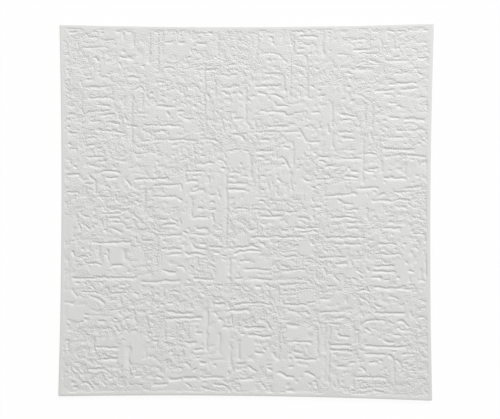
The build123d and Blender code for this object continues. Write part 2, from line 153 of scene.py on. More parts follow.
# Shorter strokes and crumpled edges between them, each as the x and y of its points, with its steep
# wall on the left of the way it runs
TOP_MARKS = (
    (-237, 241, -225, 241), (-206, 241, -197, 241), (-195, 241, -188, 240), (-175, 241, -165, 240),
    (-161, 240, -151, 240), (-226, 237, -221, 235), (-219, 237, -215, 235), (-234, 230, -233, 226),
    (-223, 227, -223, 218), (-223, 214, -216, 213), (-241, 210, -238, 211, -235, 207),
    (-186, 214, -181, 211), (-176, 225, -171, 222), (-176, 211, -172, 212, -171, 210),
    (-168, 213, -163, 215, -159, 213), (-159, 209, -151, 207), (-204, 207, -198, 207, -195, 200),
    (-224, 203, -220, 200), (-170, 200, -166, 196, -162, 192), (-149, 197, -143, 199),
    (-139, 194, -136, 195, -133, 193), (-237, 194, -232, 194), (-241, 190, -236, 190),
    (-223, 190, -216, 192), (-215, 194, -212, 193), (-222, 197, -219, 196), (-210, 195, -204, 194),
    (-186, 184, -184, 186, -179, 182), (-209, 180, -206, 181, -204, 179), (-204, 177, -202, 175),
    (-139, 181, -132, 182), (-145, 176, -140, 177), (-156, 187, -150, 186), (-162, 190, -155, 190),
    (-227, 170, -223, 170), (-219, 177, -217, 164), (-180, 167, -178, 164, -178, 157),
    (-178, 153, -175, 147), (-176, 140, -175, 136, -172, 133), (-173, 161, -171, 160),
    (-168, 162, -166, 160), (-149, 164, -143, 166, -138, 168), (-138, 168, -137, 163, -134, 160),
    (-150, 164, -148, 159), (-133, 168, -131, 168), (-129, 159, -122, 160), (-129, 156, -131, 149),
    (-154, 154, -152, 156, -150, 152), (-159, 145, -156, 145), (-162, 150, -159, 147),
    (-230, 157, -229, 153), (-237, 153, -233, 150), (-224, 150, -221, 149, -218, 144),
    (-212, 142, -208, 142), (-159, 131, -155, 132), (-150, 131, -142, 131),
    (-162, 127, -159, 125, -155, 123), (-166, 125, -162, 125), (-195, 197, -195, 189),
    (-176, 197, -172, 198), (-142, 228, -137, 230), (-146, 217, -144, 216), (-126, 213, -126, 208),
    (-240, 176, -236, 177), (-182, 204, -181, 201), (-219, 141, -218, 131), (-121, 240, -114, 239),
    (-100, 240, -90, 240), (-67, 239, -51, 239), (-50, 240, -41, 239), (-25, 240, -18, 239),
    (-15, 240, -9, 239), (-123, 236, -120, 236), (-74, 235, -71, 234), (-109, 227, -93, 227),
    (-90, 227, -78, 227), (-54, 224, -50, 222), (-47, 220, -45, 219), (-20, 221, -14, 219),
    (-96, 220, -94, 219), (-71, 220, -70, 210), (-67, 223, -66, 218), (-67, 216, -66, 211),
    (-61, 211, -58, 209, -54, 207), (-44, 208, -37, 208), (-50, 206, -43, 204), (-39, 205, -33, 203),
    (-80, 202, -74, 206, -70, 205), (-70, 197, -66, 197, -64, 194), (-60, 195, -56, 196, -53, 195),
    (-50, 196, -44, 196), (-37, 195, -31, 194), (-26, 194, -23, 195), (-86, 187, -81, 186),
    (-79, 192, -75, 192), (-97, 183, -93, 180), (-109, 182, -106, 181), (-105, 190, -101, 188),
    (-38, 185, -34, 182), (-21, 190, -8, 190), (-60, 176, -55, 172), (-68, 179, -66, 175),
    (-89, 171, -85, 172), (-81, 171, -78, 169), (-78, 169, -77, 157), (-77, 156, -73, 154, -69, 154),
    (-69, 168, -63, 167, -60, 162), (-59, 164, -55, 164), (-60, 160, -55, 159), (-55, 156, -52, 148),
    (-108, 168, -102, 167), (-106, 163, -99, 164, -93, 163), (-90, 163, -85, 164), (-88, 160, -83, 160),
    (-122, 160, -118, 158), (-121, 148, -118, 142), (-87, 156, -85, 154), (-104, 152, -101, 150),
    (-97, 148, -91, 151), (-87, 147, -82, 145, -76, 142), (-75, 145, -70, 144), (-68, 143, -62, 139),
    (-65, 147, -57, 146), (-91, 133, -85, 135, -80, 135), (-107, 132, -104, 133, -98, 127),
    (-98, 127, -96, 122), (-119, 134, -116, 133), (-117, 127, -116, 122), (-89, 129, -85, 128, -81, 127),
    (-91, 124, -88, 123), (-68, 129, -64, 128), (-54, 128, -51, 124), (-75, 131, -73, 129),
    (-47, 161, -44, 164, -38, 162), (-40, 169, -39, 166), (-48, 159, -46, 149),
    (-32, 161, -28, 161, -24, 158, -18, 156), (-17, 157, -10, 159), (-9, 160, -5, 158, -2, 155),
    (-28, 151, -23, 150), (-10, 150, -6, 151), (-5, 150, -3, 148, 0, 147), (-15, 147, -12, 146),
    (-36, 144, -31, 147, -28, 149), (-19, 143, -17, 141), (-33, 137, -27, 136), (-36, 135, -35, 130),
    (-32, 126, -26, 125), (1, 168, 4, 167), (28, 240, 41, 239), (63, 240, 81, 240), (104, 240, 108, 240),
    (110, 239, 115, 239), (4, 236, 8, 234, 11, 229), (13, 238, 15, 236), (19, 234, 25, 231),
    (26, 238, 25, 231), (30, 234, 35, 233, 38, 231, 41, 227), (39, 227, 38, 221), (40, 223, 43, 221),
    (50, 238, 50, 235), (59, 232, 63, 232), (11, 217, 14, 217), (1, 213, 5, 213),
    (20, 210, 26, 212, 36, 212, 44, 210, 49, 207, 51, 204), (1, 204, 2, 200), (5, 204, 8, 205, 10, 203),
    (9, 197, 11, 198, 15, 193), (0, 193, 3, 190, 8, 191), (29, 201, 33, 203, 37, 201),
    (37, 201, 40, 203, 45, 201), (30, 195, 35, 195), (37, 195, 41, 193, 45, 194), (56, 192, 59, 192),
    (10, 186, 16, 183), (21, 190, 24, 190), (24, 189, 24, 184), (9, 177, 16, 176), (12, 175, 13, 171),
    (24, 173, 27, 176, 34, 179), (36, 181, 41, 182, 49, 180), (45, 171, 49, 167), (6, 170, 8, 164),
    (16, 159, 26, 159, 32, 154), (7, 154, 16, 155), (39, 161, 43, 161), (31, 152, 36, 150),
    (50, 164, 54, 163, 57, 159), (53, 154, 58, 153), (39, 147, 41, 144, 43, 141), (60, 142, 63, 140),
    (-3, 148, 9, 148), (54, 133, 57, 130, 62, 130, 66, 133), (77, 133, 80, 132), (9, 126, 12, 126),
    (67, 191, 69, 187), (71, 186, 75, 184, 79, 182), (83, 186, 85, 182), (85, 183, 90, 185),
    (80, 195, 83, 192), (85, 193, 88, 195, 92, 194), (93, 200, 97, 200, 97, 197), (98, 192, 100, 188),
    (71, 173, 75, 173), (70, 168, 79, 168), (79, 167, 80, 163), (71, 158, 73, 160, 75, 156),
    (69, 156, 68, 153), (74, 157, 74, 151), (87, 169, 92, 167, 94, 165), (96, 164, 102, 162),
    (85, 177, 88, 173), (84, 152, 93, 153), (109, 150, 114, 149), (100, 150, 106, 150), (91, 141, 95, 142),
    (97, 144, 100, 144, 104, 140), (105, 139, 106, 136), (114, 131, 120, 130), (124, 143, 129, 139),
    (82, 135, 85, 131), (70, 126, 74, 125), (75, 225, 82, 223, 88, 224, 91, 227), (91, 227, 94, 227),
    (84, 219, 90, 219), (85, 211, 90, 211), (92, 212, 97, 212), (96, 210, 99, 210), (94, 234, 97, 230),
    (94, 225, 94, 216), (60, 211, 63, 211), (63, 237, 63, 221), (59, 226, 59, 221), (118, 229, 123, 232),
    (114, 237, 114, 230), (109, 216, 114, 215), (116, 190, 122, 194), (111, 181, 118, 184),
    (106, 189, 107, 181), (124, 209, 129, 210), (126, 240, 135, 240), (169, 242, 179, 240),
    (187, 241, 200, 241), (201, 241, 214, 241), (215, 242, 233, 242), (234, 242, 241, 242, 245, 240),
    (127, 232, 131, 231), (142, 221, 144, 223, 147, 221), (148, 223, 157, 224), (170, 218, 175, 220),
    (175, 235, 173, 230), (182, 230, 182, 211), (184, 223, 190, 223), (184, 219, 189, 216),
    (185, 208, 185, 203), (180, 212, 183, 211), (195, 220, 199, 219), (200, 219, 208, 219),
    (211, 219, 217, 219), (201, 233, 206, 236, 211, 238), (216, 234, 216, 229), (220, 232, 225, 231),
    (221, 217, 225, 217, 228, 214), (228, 214, 229, 210), (237, 221, 237, 211),
    (196, 205, 201, 206, 206, 208), (220, 204, 221, 201), (220, 198, 225, 195), (229, 206, 231, 204),
    (243, 204, 243, 196), (225, 192, 233, 191), (230, 187, 233, 183, 237, 180), (234, 174, 239, 178),
    (242, 180, 243, 174), (236, 167, 242, 167), (228, 161, 233, 160), (221, 155, 225, 155),
    (201, 156, 208, 158), (195, 156, 199, 154), (190, 148, 195, 146, 203, 146), (184, 142, 189, 140),
    (200, 140, 205, 142, 208, 138), (220, 146, 224, 145), (233, 143, 238, 144), (241, 146, 242, 137),
    (164, 204, 169, 201), (170, 203, 175, 200), (171, 194, 175, 196, 181, 194), (146, 194, 156, 192),
    (142, 205, 142, 202), (132, 204, 134, 203), (127, 209, 138, 210), (138, 180, 144, 177),
    (127, 180, 131, 180), (171, 180, 175, 180), (190, 191, 193, 190), (195, 175, 200, 175),
    (158, 170, 163, 170), (163, 172, 167, 173), (171, 170, 175, 172, 178, 172), (129, 167, 133, 167),
    (134, 168, 138, 167, 143, 166), (136, 155, 141, 157), (127, 151, 135, 151), (159, 159, 167, 160),
    (139, 148, 147, 148), (171, 155, 173, 153), (171, 149, 175, 148), (163, 146, 165, 140),
    (167, 143, 171, 144), (137, 135, 140, 136), (145, 131, 150, 131), (141, 128, 144, 126),
    (174, 132, 175, 127), (-240, 124, -233, 124), (-231, 124, -227, 124), (-239, 115, -232, 112),
    (-199, 117, -193, 116), (-200, 111, -195, 109, -191, 103), (-180, 110, -170, 109),
    (-211, 105, -204, 102), (-176, 101, -166, 101), (-160, 123, -155, 124), (-158, 117, -142, 116),
    (-138, 111, -132, 108), (-133, 107, -131, 100), (-239, 91, -231, 90), (-236, 85, -229, 85, -224, 81),
    (-216, 91, -213, 91), (-198, 91, -194, 90), (-190, 91, -184, 90), (-199, 85, -189, 85),
    (-168, 88, -162, 87), (-179, 82, -171, 82), (-150, 93, -147, 91), (-146, 88, -138, 87),
    (-124, 76, -121, 74), (-228, 66, -221, 66), (-235, 65, -231, 63), (-231, 61, -224, 59),
    (-198, 68, -185, 66), (-191, 69, -182, 69), (-166, 72, -161, 75, -159, 72), (-177, 61, -171, 60),
    (-211, 31, -203, 30), (-199, 44, -199, 21), (-190, 32, -184, 34, -178, 30), (-234, 32, -231, 32),
    (-231, 37, -227, 36), (-174, 22, -171, 20, -170, 16, -165, 12), (-159, 22, -151, 20),
    (-160, 12, -153, 12), (-144, 23, -140, 20), (-149, 16, -137, 13), (-231, 18, -225, 17),
    (-239, 15, -235, 12), (-199, 7, -192, 5), (-190, 2, -182, 1), (-189, 10, -184, 9),
    (-73, 122, -70, 119), (-116, 120, -112, 118), (-106, 116, -101, 117, -96, 115), (-82, 115, -80, 110),
    (-127, 107, -123, 102), (-104, 105, -101, 101), (-59, 120, -54, 116), (-52, 118, -49, 112),
    (-64, 126, -57, 125), (-62, 108, -58, 105), (-45, 111, -44, 104), (-37, 110, -33, 108),
    (-33, 104, -29, 103), (-36, 101, -32, 99), (-23, 120, -18, 119), (-27, 114, -26, 105),
    (-4, 103, -2, 99, 1, 94), (-28, 91, -24, 91), (-99, 89, -89, 90), (-89, 88, -84, 84),
    (-121, 81, -112, 82), (-114, 76, -109, 74), (-98, 76, -92, 75), (-85, 74, -80, 77),
    (-76, 75, -70, 75, -68, 73), (-120, 69, -113, 66), (-109, 66, -106, 66), (-88, 69, -78, 69),
    (-67, 79, -61, 78), (-67, 89, -66, 67), (-59, 85, -55, 81), (-53, 86, -50, 86), (-59, 75, -50, 75),
    (-43, 73, -40, 75, -38, 75), (-38, 88, -36, 86, -34, 85), (-36, 81, -32, 78), (-44, 89, -37, 89),
    (-45, 85, -39, 85), (-72, 91, -67, 91), (-24, 79, -23, 71), (-27, 68, -22, 60),
    (-8, 63, -5, 65, -2, 61), (-34, 58, -25, 59), (-27, 49, -24, 47), (-20, 47, -12, 46), (-3, 49, 5, 48),
    (-47, 57, -44, 55), (-43, 54, -39, 52), (-56, 53, -53, 50), (-66, 58, -63, 57), (-70, 48, -61, 48),
    (-91, 59, -87, 59), (-88, 56, -83, 56, -80, 53), (-109, 54, -105, 50), (-116, 53, -111, 52),
    (-104, 45, -100, 42), (-89, 36, -84, 38), (-84, 37, -83, 27), (-96, 22, -91, 22), (-88, 19, -83, 13),
    (-80, 12, -76, 9), (-123, 1, -118, 1), (-87, 1, -84, 1), (-69, 31, -61, 35), (-54, 28, -50, 25),
    (-48, 26, -45, 25), (-46, 34, -45, 30), (-37, 29, -34, 27, -32, 23), (-32, 23, -31, 16),
    (-73, 17, -69, 17), (-59, 16, -54, 13), (-46, 11, -42, 13, -39, 11), (-36, 11, -34, 10),
    (-64, 3, -60, 5, -53, 4), (-49, 3, -43, 3, -38, 5), (-16, 10, -11, 11), (5, 119, 7, 115, 9, 112),
    (11, 103, 14, 103, 19, 100), (5, 96, 10, 98), (11, 89, 12, 82), (20, 90, 24, 90), (40, 100, 41, 90),
    (43, 97, 50, 97), (41, 87, 48, 88), (48, 90, 54, 92), (52, 87, 56, 87, 60, 85), (11, 77, 12, 68),
    (33, 76, 37, 76), (33, 64, 37, 65), (54, 72, 57, 65, 60, 59, 62, 57), (49, 62, 52, 65, 56, 64),
    (43, 79, 43, 70), (29, 57, 32, 55), (26, 53, 30, 53), (32, 54, 31, 50), (20, 48, 28, 49),
    (33, 49, 36, 48, 38, 46), (41, 48, 46, 50), (44, 45, 49, 42, 53, 38), (23, 42, 27, 42),
    (27, 41, 29, 37), (39, 42, 42, 42), (35, 39, 40, 38), (18, 64, 19, 52), (19, 49, 19, 33),
    (20, 30, 28, 30), (15, 30, 18, 29), (4, 29, 8, 26), (-2, 82, 6, 81), (11, 56, 12, 42),
    (32, 17, 36, 18, 39, 15), (35, 12, 40, 12, 44, 10), (45, 22, 49, 19), (45, 35, 45, 22),
    (55, 11, 58, 9, 59, 6), (66, 9, 66, 4), (77, 4, 82, 5), (57, 36, 60, 31),
    (69, 110, 73, 111, 76, 106, 79, 101, 82, 95, 85, 94), (70, 101, 77, 101), (69, 69, 72, 72, 74, 69),
    (71, 61, 79, 62), (67, 59, 76, 59), (80, 64, 83, 62), (75, 124, 78, 121), (83, 125, 88, 125),
    (84, 115, 85, 110), (95, 112, 102, 113), (106, 113, 110, 113), (89, 105, 94, 108),
    (105, 121, 106, 118), (117, 122, 121, 121), (112, 118, 113, 103), (118, 107, 119, 84),
    (79, 80, 83, 76), (89, 79, 97, 79), (86, 91, 89, 83), (98, 68, 103, 68, 109, 65), (98, 58, 106, 58),
    (112, 57, 116, 56), (108, 61, 120, 62), (106, 50, 111, 50, 117, 47), (79, 42, 89, 42),
    (85, 38, 90, 35), (90, 35, 95, 33, 97, 31), (102, 33, 106, 32), (118, 39, 122, 39), (92, 20, 93, 12),
    (104, 14, 107, 16, 111, 17), (102, 14, 106, 11), (106, 9, 111, 8), (86, 9, 90, 7), (124, 17, 128, 17),
    (124, 1, 130, 0), (125, 95, 129, 93), (121, 82, 124, 80), (124, 50, 129, 49), (65, 94, 65, 85),
    (37, 116, 40, 118), (20, 120, 23, 119), (24, 103, 44, 103), (129, 122, 137, 123, 141, 126),
    (143, 126, 147, 126), (148, 123, 151, 121), (184, 123, 191, 122), (206, 126, 209, 123),
    (213, 125, 228, 126), (178, 117, 180, 115), (182, 114, 186, 114, 190, 111, 194, 110),
    (180, 108, 188, 108), (191, 108, 195, 107), (227, 110, 233, 112, 239, 110), (241, 108, 241, 100),
    (166, 106, 170, 106), (170, 106, 171, 93), (155, 105, 155, 100), (159, 104, 158, 98),
    (172, 103, 178, 103), (129, 92, 132, 90), (135, 93, 135, 90), (181, 95, 181, 84), (210, 91, 216, 91),
    (227, 92, 231, 93, 236, 91), (235, 96, 238, 95, 240, 92), (164, 84, 170, 81), (171, 83, 177, 81),
    (163, 88, 168, 90), (225, 83, 228, 81), (204, 71, 216, 73), (218, 73, 226, 70), (239, 75, 242, 72),
    (241, 71, 241, 59), (233, 65, 240, 68), (229, 63, 233, 62), (144, 65, 146, 66, 149, 62),
    (166, 66, 172, 67), (174, 67, 178, 65), (161, 65, 164, 65), (137, 59, 143, 59), (131, 54, 136, 58),
    (160, 57, 165, 55, 173, 54), (178, 52, 181, 54), (169, 49, 173, 47, 175, 44), (160, 45, 165, 43),
    (189, 56, 196, 55), (204, 56, 211, 56), (193, 49, 199, 47), (216, 48, 220, 47), (227, 49, 232, 50),
    (132, 43, 142, 43), (219, 40, 226, 41), (184, 42, 189, 41), (137, 38, 143, 38), (151, 36, 155, 34),
    (135, 25, 138, 28, 140, 25), (140, 26, 148, 25), (162, 28, 165, 25, 168, 22), (170, 27, 177, 27),
    (156, 25, 160, 24), (178, 22, 182, 24, 186, 26), (206, 26, 211, 24, 216, 23), (220, 25, 223, 24),
    (231, 25, 237, 25), (222, 19, 232, 18), (238, 19, 241, 17), (201, 18, 206, 15), (219, 14, 222, 8),
    (222, 8, 230, 7), (214, 7, 219, 5), (123, 17, 128, 16, 133, 14), (161, 8, 164, 7), (137, 4, 152, 4),
    (192, 7, 197, 7), (237, 2, 242, 1),
)
BOTTOM_MARKS = (
    (-99, -2, -92, 1), (30, 3, 34, 0, 38, -3), (-221, -17, -220, -28), (-201, -16, -195, -19),
    (-202, -20, -203, -27), (-190, -24, -183, -25), (-160, -8, -151, -9), (-166, 0, -160, -1),
    (-179, -13, -172, -15, -163, -14), (-177, -36, -171, -36), (-168, -35, -160, -38),
    (-192, -38, -188, -38), (-221, -50, -214, -49), (-230, -51, -227, -62), (-210, -55, -204, -61),
    (-238, -65, -233, -66), (-190, -57, -182, -59), (-182, -51, -182, -69), (-204, -51, -200, -52),
    (-158, -80, -152, -81), (-191, -87, -186, -88), (-180, -87, -175, -87), (-228, -96, -220, -96),
    (-217, -96, -209, -98), (-208, -100, -204, -99, -200, -103), (-178, -100, -172, -99),
    (-166, -98, -158, -100), (-190, -94, -187, -100), (-169, -104, -160, -106), (-230, -102, -228, -110),
    (-193, -107, -186, -108), (-196, -111, -191, -110), (-158, -108, -155, -113), (-140, -109, -135, -109),
    (-206, -113, -200, -116), (-234, -123, -228, -124), (-156, -119, -149, -120), (-191, -120, -186, -124),
    (-135, -52, -133, -62), (-129, -52, -122, -51), (-148, -4, -141, -9), (-147, -17, -142, -21),
    (-146, -34, -141, -38), (-145, -41, -139, -42), (-127, -7, -122, -9), (-158, -15, -158, -22),
    (-150, -126, -145, -127), (-118, -6, -114, -7), (-100, -9, -92, -11, -87, -16), (-85, -8, -83, -18),
    (-82, -27, -76, -30), (-74, -21, -74, -28), (-118, -37, -115, -38), (-109, -38, -104, -40),
    (-85, -44, -80, -43), (-71, -42, -66, -46, -61, -49), (-60, -42, -49, -43), (-27, -42, -22, -44),
    (-42, -1, -41, -9, -39, -17), (-29, -31, -25, -37), (-115, -51, -115, -58), (-81, -54, -72, -55),
    (-41, -53, -32, -55), (-31, -57, -22, -58), (-30, -62, -23, -64), (-48, -64, -43, -64),
    (-48, -71, -39, -71), (-90, -73, -80, -74, -77, -81), (-72, -72, -70, -72, -68, -80),
    (-58, -79, -54, -80), (-45, -82, -43, -88), (-79, -92, -72, -93), (-41, -89, -37, -93),
    (-59, -98, -52, -99), (-50, -98, -42, -100), (-36, -100, -31, -98, -26, -100),
    (-13, -100, -8, -98, -5, -102), (-63, -105, -58, -104), (-37, -102, -29, -106), (-65, -109, -61, -110),
    (-58, -108, -50, -110), (-11, -104, -3, -106), (-4, -102, 2, -104), (-126, -105, -122, -110),
    (-121, -110, -113, -111), (-31, -113, -27, -117), (-16, -116, -10, -117), (-112, -123, -105, -124),
    (-104, -122, -94, -123), (-77, -112, -73, -115), (-54, -83, -52, -86), (-3, -14, 4, -16),
    (-3, -24, 3, -26), (35, -1, 39, -4), (52, -11, 58, -16), (48, -11, 53, -11),
    (22, -12, 26, -15, 32, -17), (23, -17, 24, -28), (26, -23, 33, -25), (34, -21, 38, -22),
    (34, -29, 38, -32), (18, -12, 18, -23), (71, -11, 84, -14), (81, -7, 88, -10),
    (75, -27, 84, -27, 92, -24, 98, -28), (89, -32, 94, -34), (103, -31, 107, -32), (92, -38, 94, -46),
    (43, -39, 48, -42), (57, -44, 61, -41, 65, -45), (21, -42, 27, -42, 28, -49), (6, -44, 14, -43),
    (38, -59, 40, -62), (10, -65, 14, -68), (43, -64, 49, -68), (75, -58, 80, -59), (80, -62, 91, -63),
    (79, -65, 90, -67, 92, -70), (80, -71, 89, -74), (105, -72, 108, -76, 110, -87), (102, -65, 107, -69),
    (113, -66, 118, -69), (38, -80, 43, -82), (20, -82, 24, -84), (5, -86, 10, -88), (46, -84, 48, -91),
    (73, -89, 79, -89), (59, -89, 64, -90), (85, -91, 89, -92, 93, -97), (94, -95, 99, -96),
    (14, -99, 26, -99), (29, -96, 37, -98), (-3, -102, 3, -106, 12, -106), (31, -103, 34, -109, 35, -113),
    (50, -104, 59, -104), (65, -102, 69, -107), (73, -102, 86, -104), (100, -106, 106, -106),
    (110, -99, 123, -98), (120, -84, 125, -89, 129, -92), (106, -48, 110, -51, 113, -53),
    (113, -52, 118, -49), (102, -42, 107, -44), (113, -3, 119, -3), (120, -3, 123, -7),
    (51, -120, 57, -124), (82, -121, 97, -119), (6, -118, 11, -118), (134, -1, 148, -1),
    (122, -22, 126, -24), (128, -28, 132, -29), (138, -25, 139, -30), (131, -39, 140, -41),
    (158, -43, 162, -39, 166, -42), (163, -43, 169, -45), (154, -49, 160, -50), (148, -53, 155, -53),
    (160, -52, 163, -56), (161, -58, 167, -59), (122, -49, 127, -50), (163, -22, 168, -25),
    (169, -6, 174, -6, 179, -9), (201, -13, 204, -17), (194, -27, 199, -31), (183, -27, 189, -28),
    (216, -2, 219, -5), (224, -5, 229, -8), (220, -24, 225, -23, 228, -26), (241, -27, 241, -42),
    (205, -35, 209, -37), (211, -40, 216, -41), (198, -47, 205, -48), (209, -55, 211, -60),
    (183, -64, 188, -67), (162, -65, 165, -68), (150, -66, 153, -68), (215, -63, 217, -69),
    (161, -75, 165, -75, 169, -78), (150, -75, 155, -77, 159, -81), (217, -76, 226, -77),
    (153, -83, 158, -87), (160, -82, 165, -87), (202, -85, 208, -87), (169, -88, 175, -86, 184, -87),
    (185, -88, 195, -88), (136, -89, 143, -89), (143, -87, 148, -88, 152, -92), (221, -85, 222, -94),
    (222, -96, 228, -97), (232, -90, 236, -87, 241, -91), (207, -97, 217, -98), (162, -98, 169, -106),
    (148, -96, 155, -101), (122, -103, 132, -104), (222, -106, 226, -107), (171, -112, 177, -118),
    (175, -123, 184, -125), (215, -118, 219, -119), (234, -115, 242, -119), (235, -124, 242, -125),
    (227, -45, 233, -50), (237, -50, 241, -52), (226, -38, 234, -39), (242, -54, 242, -87),
    (-215, -138, -209, -138), (-222, -151, -217, -146), (-230, -148, -227, -152), (-241, -152, -234, -154),
    (-225, -155, -222, -156), (-186, -147, -183, -152), (-175, -143, -169, -145), (-170, -136, -164, -140),
    (-182, -135, -176, -133), (-155, -133, -151, -134), (-139, -133, -137, -136),
    (-162, -150, -158, -144, -154, -143), (-175, -153, -170, -157, -164, -162), (-170, -149, -165, -151),
    (-155, -150, -155, -158), (-133, -142, -128, -146), (-132, -153, -128, -158), (-126, -161, -122, -166),
    (-214, -164, -207, -165), (-200, -167, -198, -171), (-218, -164, -218, -170), (-239, -173, -234, -173),
    (-236, -177, -236, -186), (-230, -180, -226, -181), (-207, -182, -205, -185), (-209, -175, -204, -177),
    (-155, -177, -151, -178), (-229, -200, -225, -200), (-229, -207, -224, -213, -219, -219),
    (-234, -211, -227, -219), (-219, -216, -213, -211), (-187, -212, -181, -215, -179, -219, -173, -223),
    (-181, -223, -174, -224), (-219, -230, -211, -229, -204, -235, -201, -240), (-231, -229, -226, -232),
    (-230, -235, -223, -236), (-195, -226, -192, -229), (-188, -229, -184, -234), (-176, -233, -171, -234),
    (-138, -233, -134, -232), (-168, -211, -160, -214), (-168, -201, -168, -208), (-150, -203, -147, -208),
    (-149, -213, -143, -211), (-128, -194, -122, -195), (-130, -212, -123, -212), (-41, -134, -33, -138),
    (-51, -125, -47, -126), (-21, -124, -17, -129), (-35, -142, -28, -143), (-10, -142, -4, -144),
    (-15, -138, -15, -151), (-6, -150, 0, -153), (-5, -162, 2, -163), (-90, -150, -83, -153),
    (-95, -159, -90, -160), (-76, -155, -73, -160), (-75, -162, -71, -164), (-100, -167, -91, -168),
    (-90, -173, -81, -174), (-121, -169, -113, -168), (-107, -177, -104, -178), (-70, -188, -65, -190),
    (-101, -188, -93, -188), (-65, -195, -54, -196), (-60, -202, -49, -203), (-46, -199, -41, -200),
    (-41, -203, -35, -205), (-80, -200, -75, -203, -71, -208), (-90, -208, -81, -210),
    (-70, -211, -61, -209), (-82, -222, -62, -221), (-119, -220, -106, -223), (-105, -230, -100, -230),
    (-78, -228, -68, -236), (-88, -230, -83, -231), (-59, -233, -45, -238),
    (-40, -230, -27, -232, -18, -237, -15, -242), (-12, -223, -6, -223), (-13, -207, -13, -216),
    (42, -125, 46, -132, 48, -144), (28, -135, 33, -140), (18, -142, 24, -144, 29, -143),
    (31, -144, 33, -151, 35, -155, 39, -157), (12, -148, 19, -149), (40, -146, 45, -147),
    (50, -155, 53, -158), (40, -177, 46, -179), (20, -174, 24, -179), (14, -186, 22, -188, 29, -189),
    (25, -182, 32, -185), (40, -186, 43, -193, 49, -197), (31, -208, 40, -211), (68, -223, 74, -227),
    (58, -205, 68, -206), (73, -199, 79, -204), (83, -201, 85, -205), (80, -214, 88, -214, 97, -219),
    (86, -227, 91, -230), (91, -224, 97, -227, 98, -234), (99, -234, 103, -235), (105, -230, 108, -233),
    (49, -207, 52, -210), (13, -226, 26, -228), (26, -229, 30, -237), (56, -236, 69, -238),
    (96, -144, 98, -149), (70, -134, 79, -138), (86, -132, 88, -138), (79, -147, 88, -148),
    (123, -155, 125, -160), (111, -219, 114, -229), (4, -132, 10, -133), (60, -198, 62, -194),
    (138, -129, 143, -128), (155, -136, 161, -137), (161, -135, 170, -133), (194, -125, 197, -127),
    (221, -130, 224, -135, 229, -139), (229, -138, 241, -137), (229, -141, 233, -145),
    (203, -144, 211, -144, 217, -147, 220, -153), (190, -145, 200, -148),
    (160, -152, 166, -155, 170, -159), (160, -157, 164, -159), (147, -155, 155, -159),
    (147, -144, 147, -151), (175, -155, 178, -157), (169, -162, 172, -165),
    (203, -152, 210, -155, 216, -156), (198, -161, 209, -163), (212, -163, 217, -164),
    (231, -152, 238, -155), (230, -167, 233, -170), (240, -155, 242, -162), (211, -171, 217, -172),
    (180, -165, 184, -167), (197, -184, 204, -183), (145, -179, 149, -180), (132, -192, 139, -192),
    (150, -192, 155, -194), (160, -196, 161, -201), (181, -194, 184, -199),
    (154, -204, 160, -207, 163, -212), (180, -209, 189, -211), (192, -208, 195, -215),
    (203, -194, 209, -200), (212, -199, 219, -201), (222, -202, 226, -204), (213, -206, 217, -208),
    (220, -206, 229, -211), (234, -192, 235, -200), (228, -188, 232, -189), (233, -178, 233, -186),
    (133, -212, 137, -214), (160, -224, 167, -230), (152, -230, 157, -231), (153, -238, 157, -239),
    (160, -238, 164, -239), (137, -234, 142, -238), (145, -234, 148, -238), (124, -221, 128, -233),
    (131, -223, 134, -228), (212, -238, 216, -241), (241, -233, 243, -239),
)
# Shallow marks along the rim's inner edge, in the same way: dark ones on the right, bright ones at the
# bottom
RIGHT_RIM_MARKS = ((243, 150, 243, 135), (243, 30, 243, -10), (242, -26, 242, -41), (242, -53, 242, -86))
BOTTOM_RIM_MARKS = (
    (-133, -243, -243, -243), (-17, -241, -62, -241), (-62, -241, -128, -242), (115, -240, 53, -240),
    (244, -243, 174, -243),
)

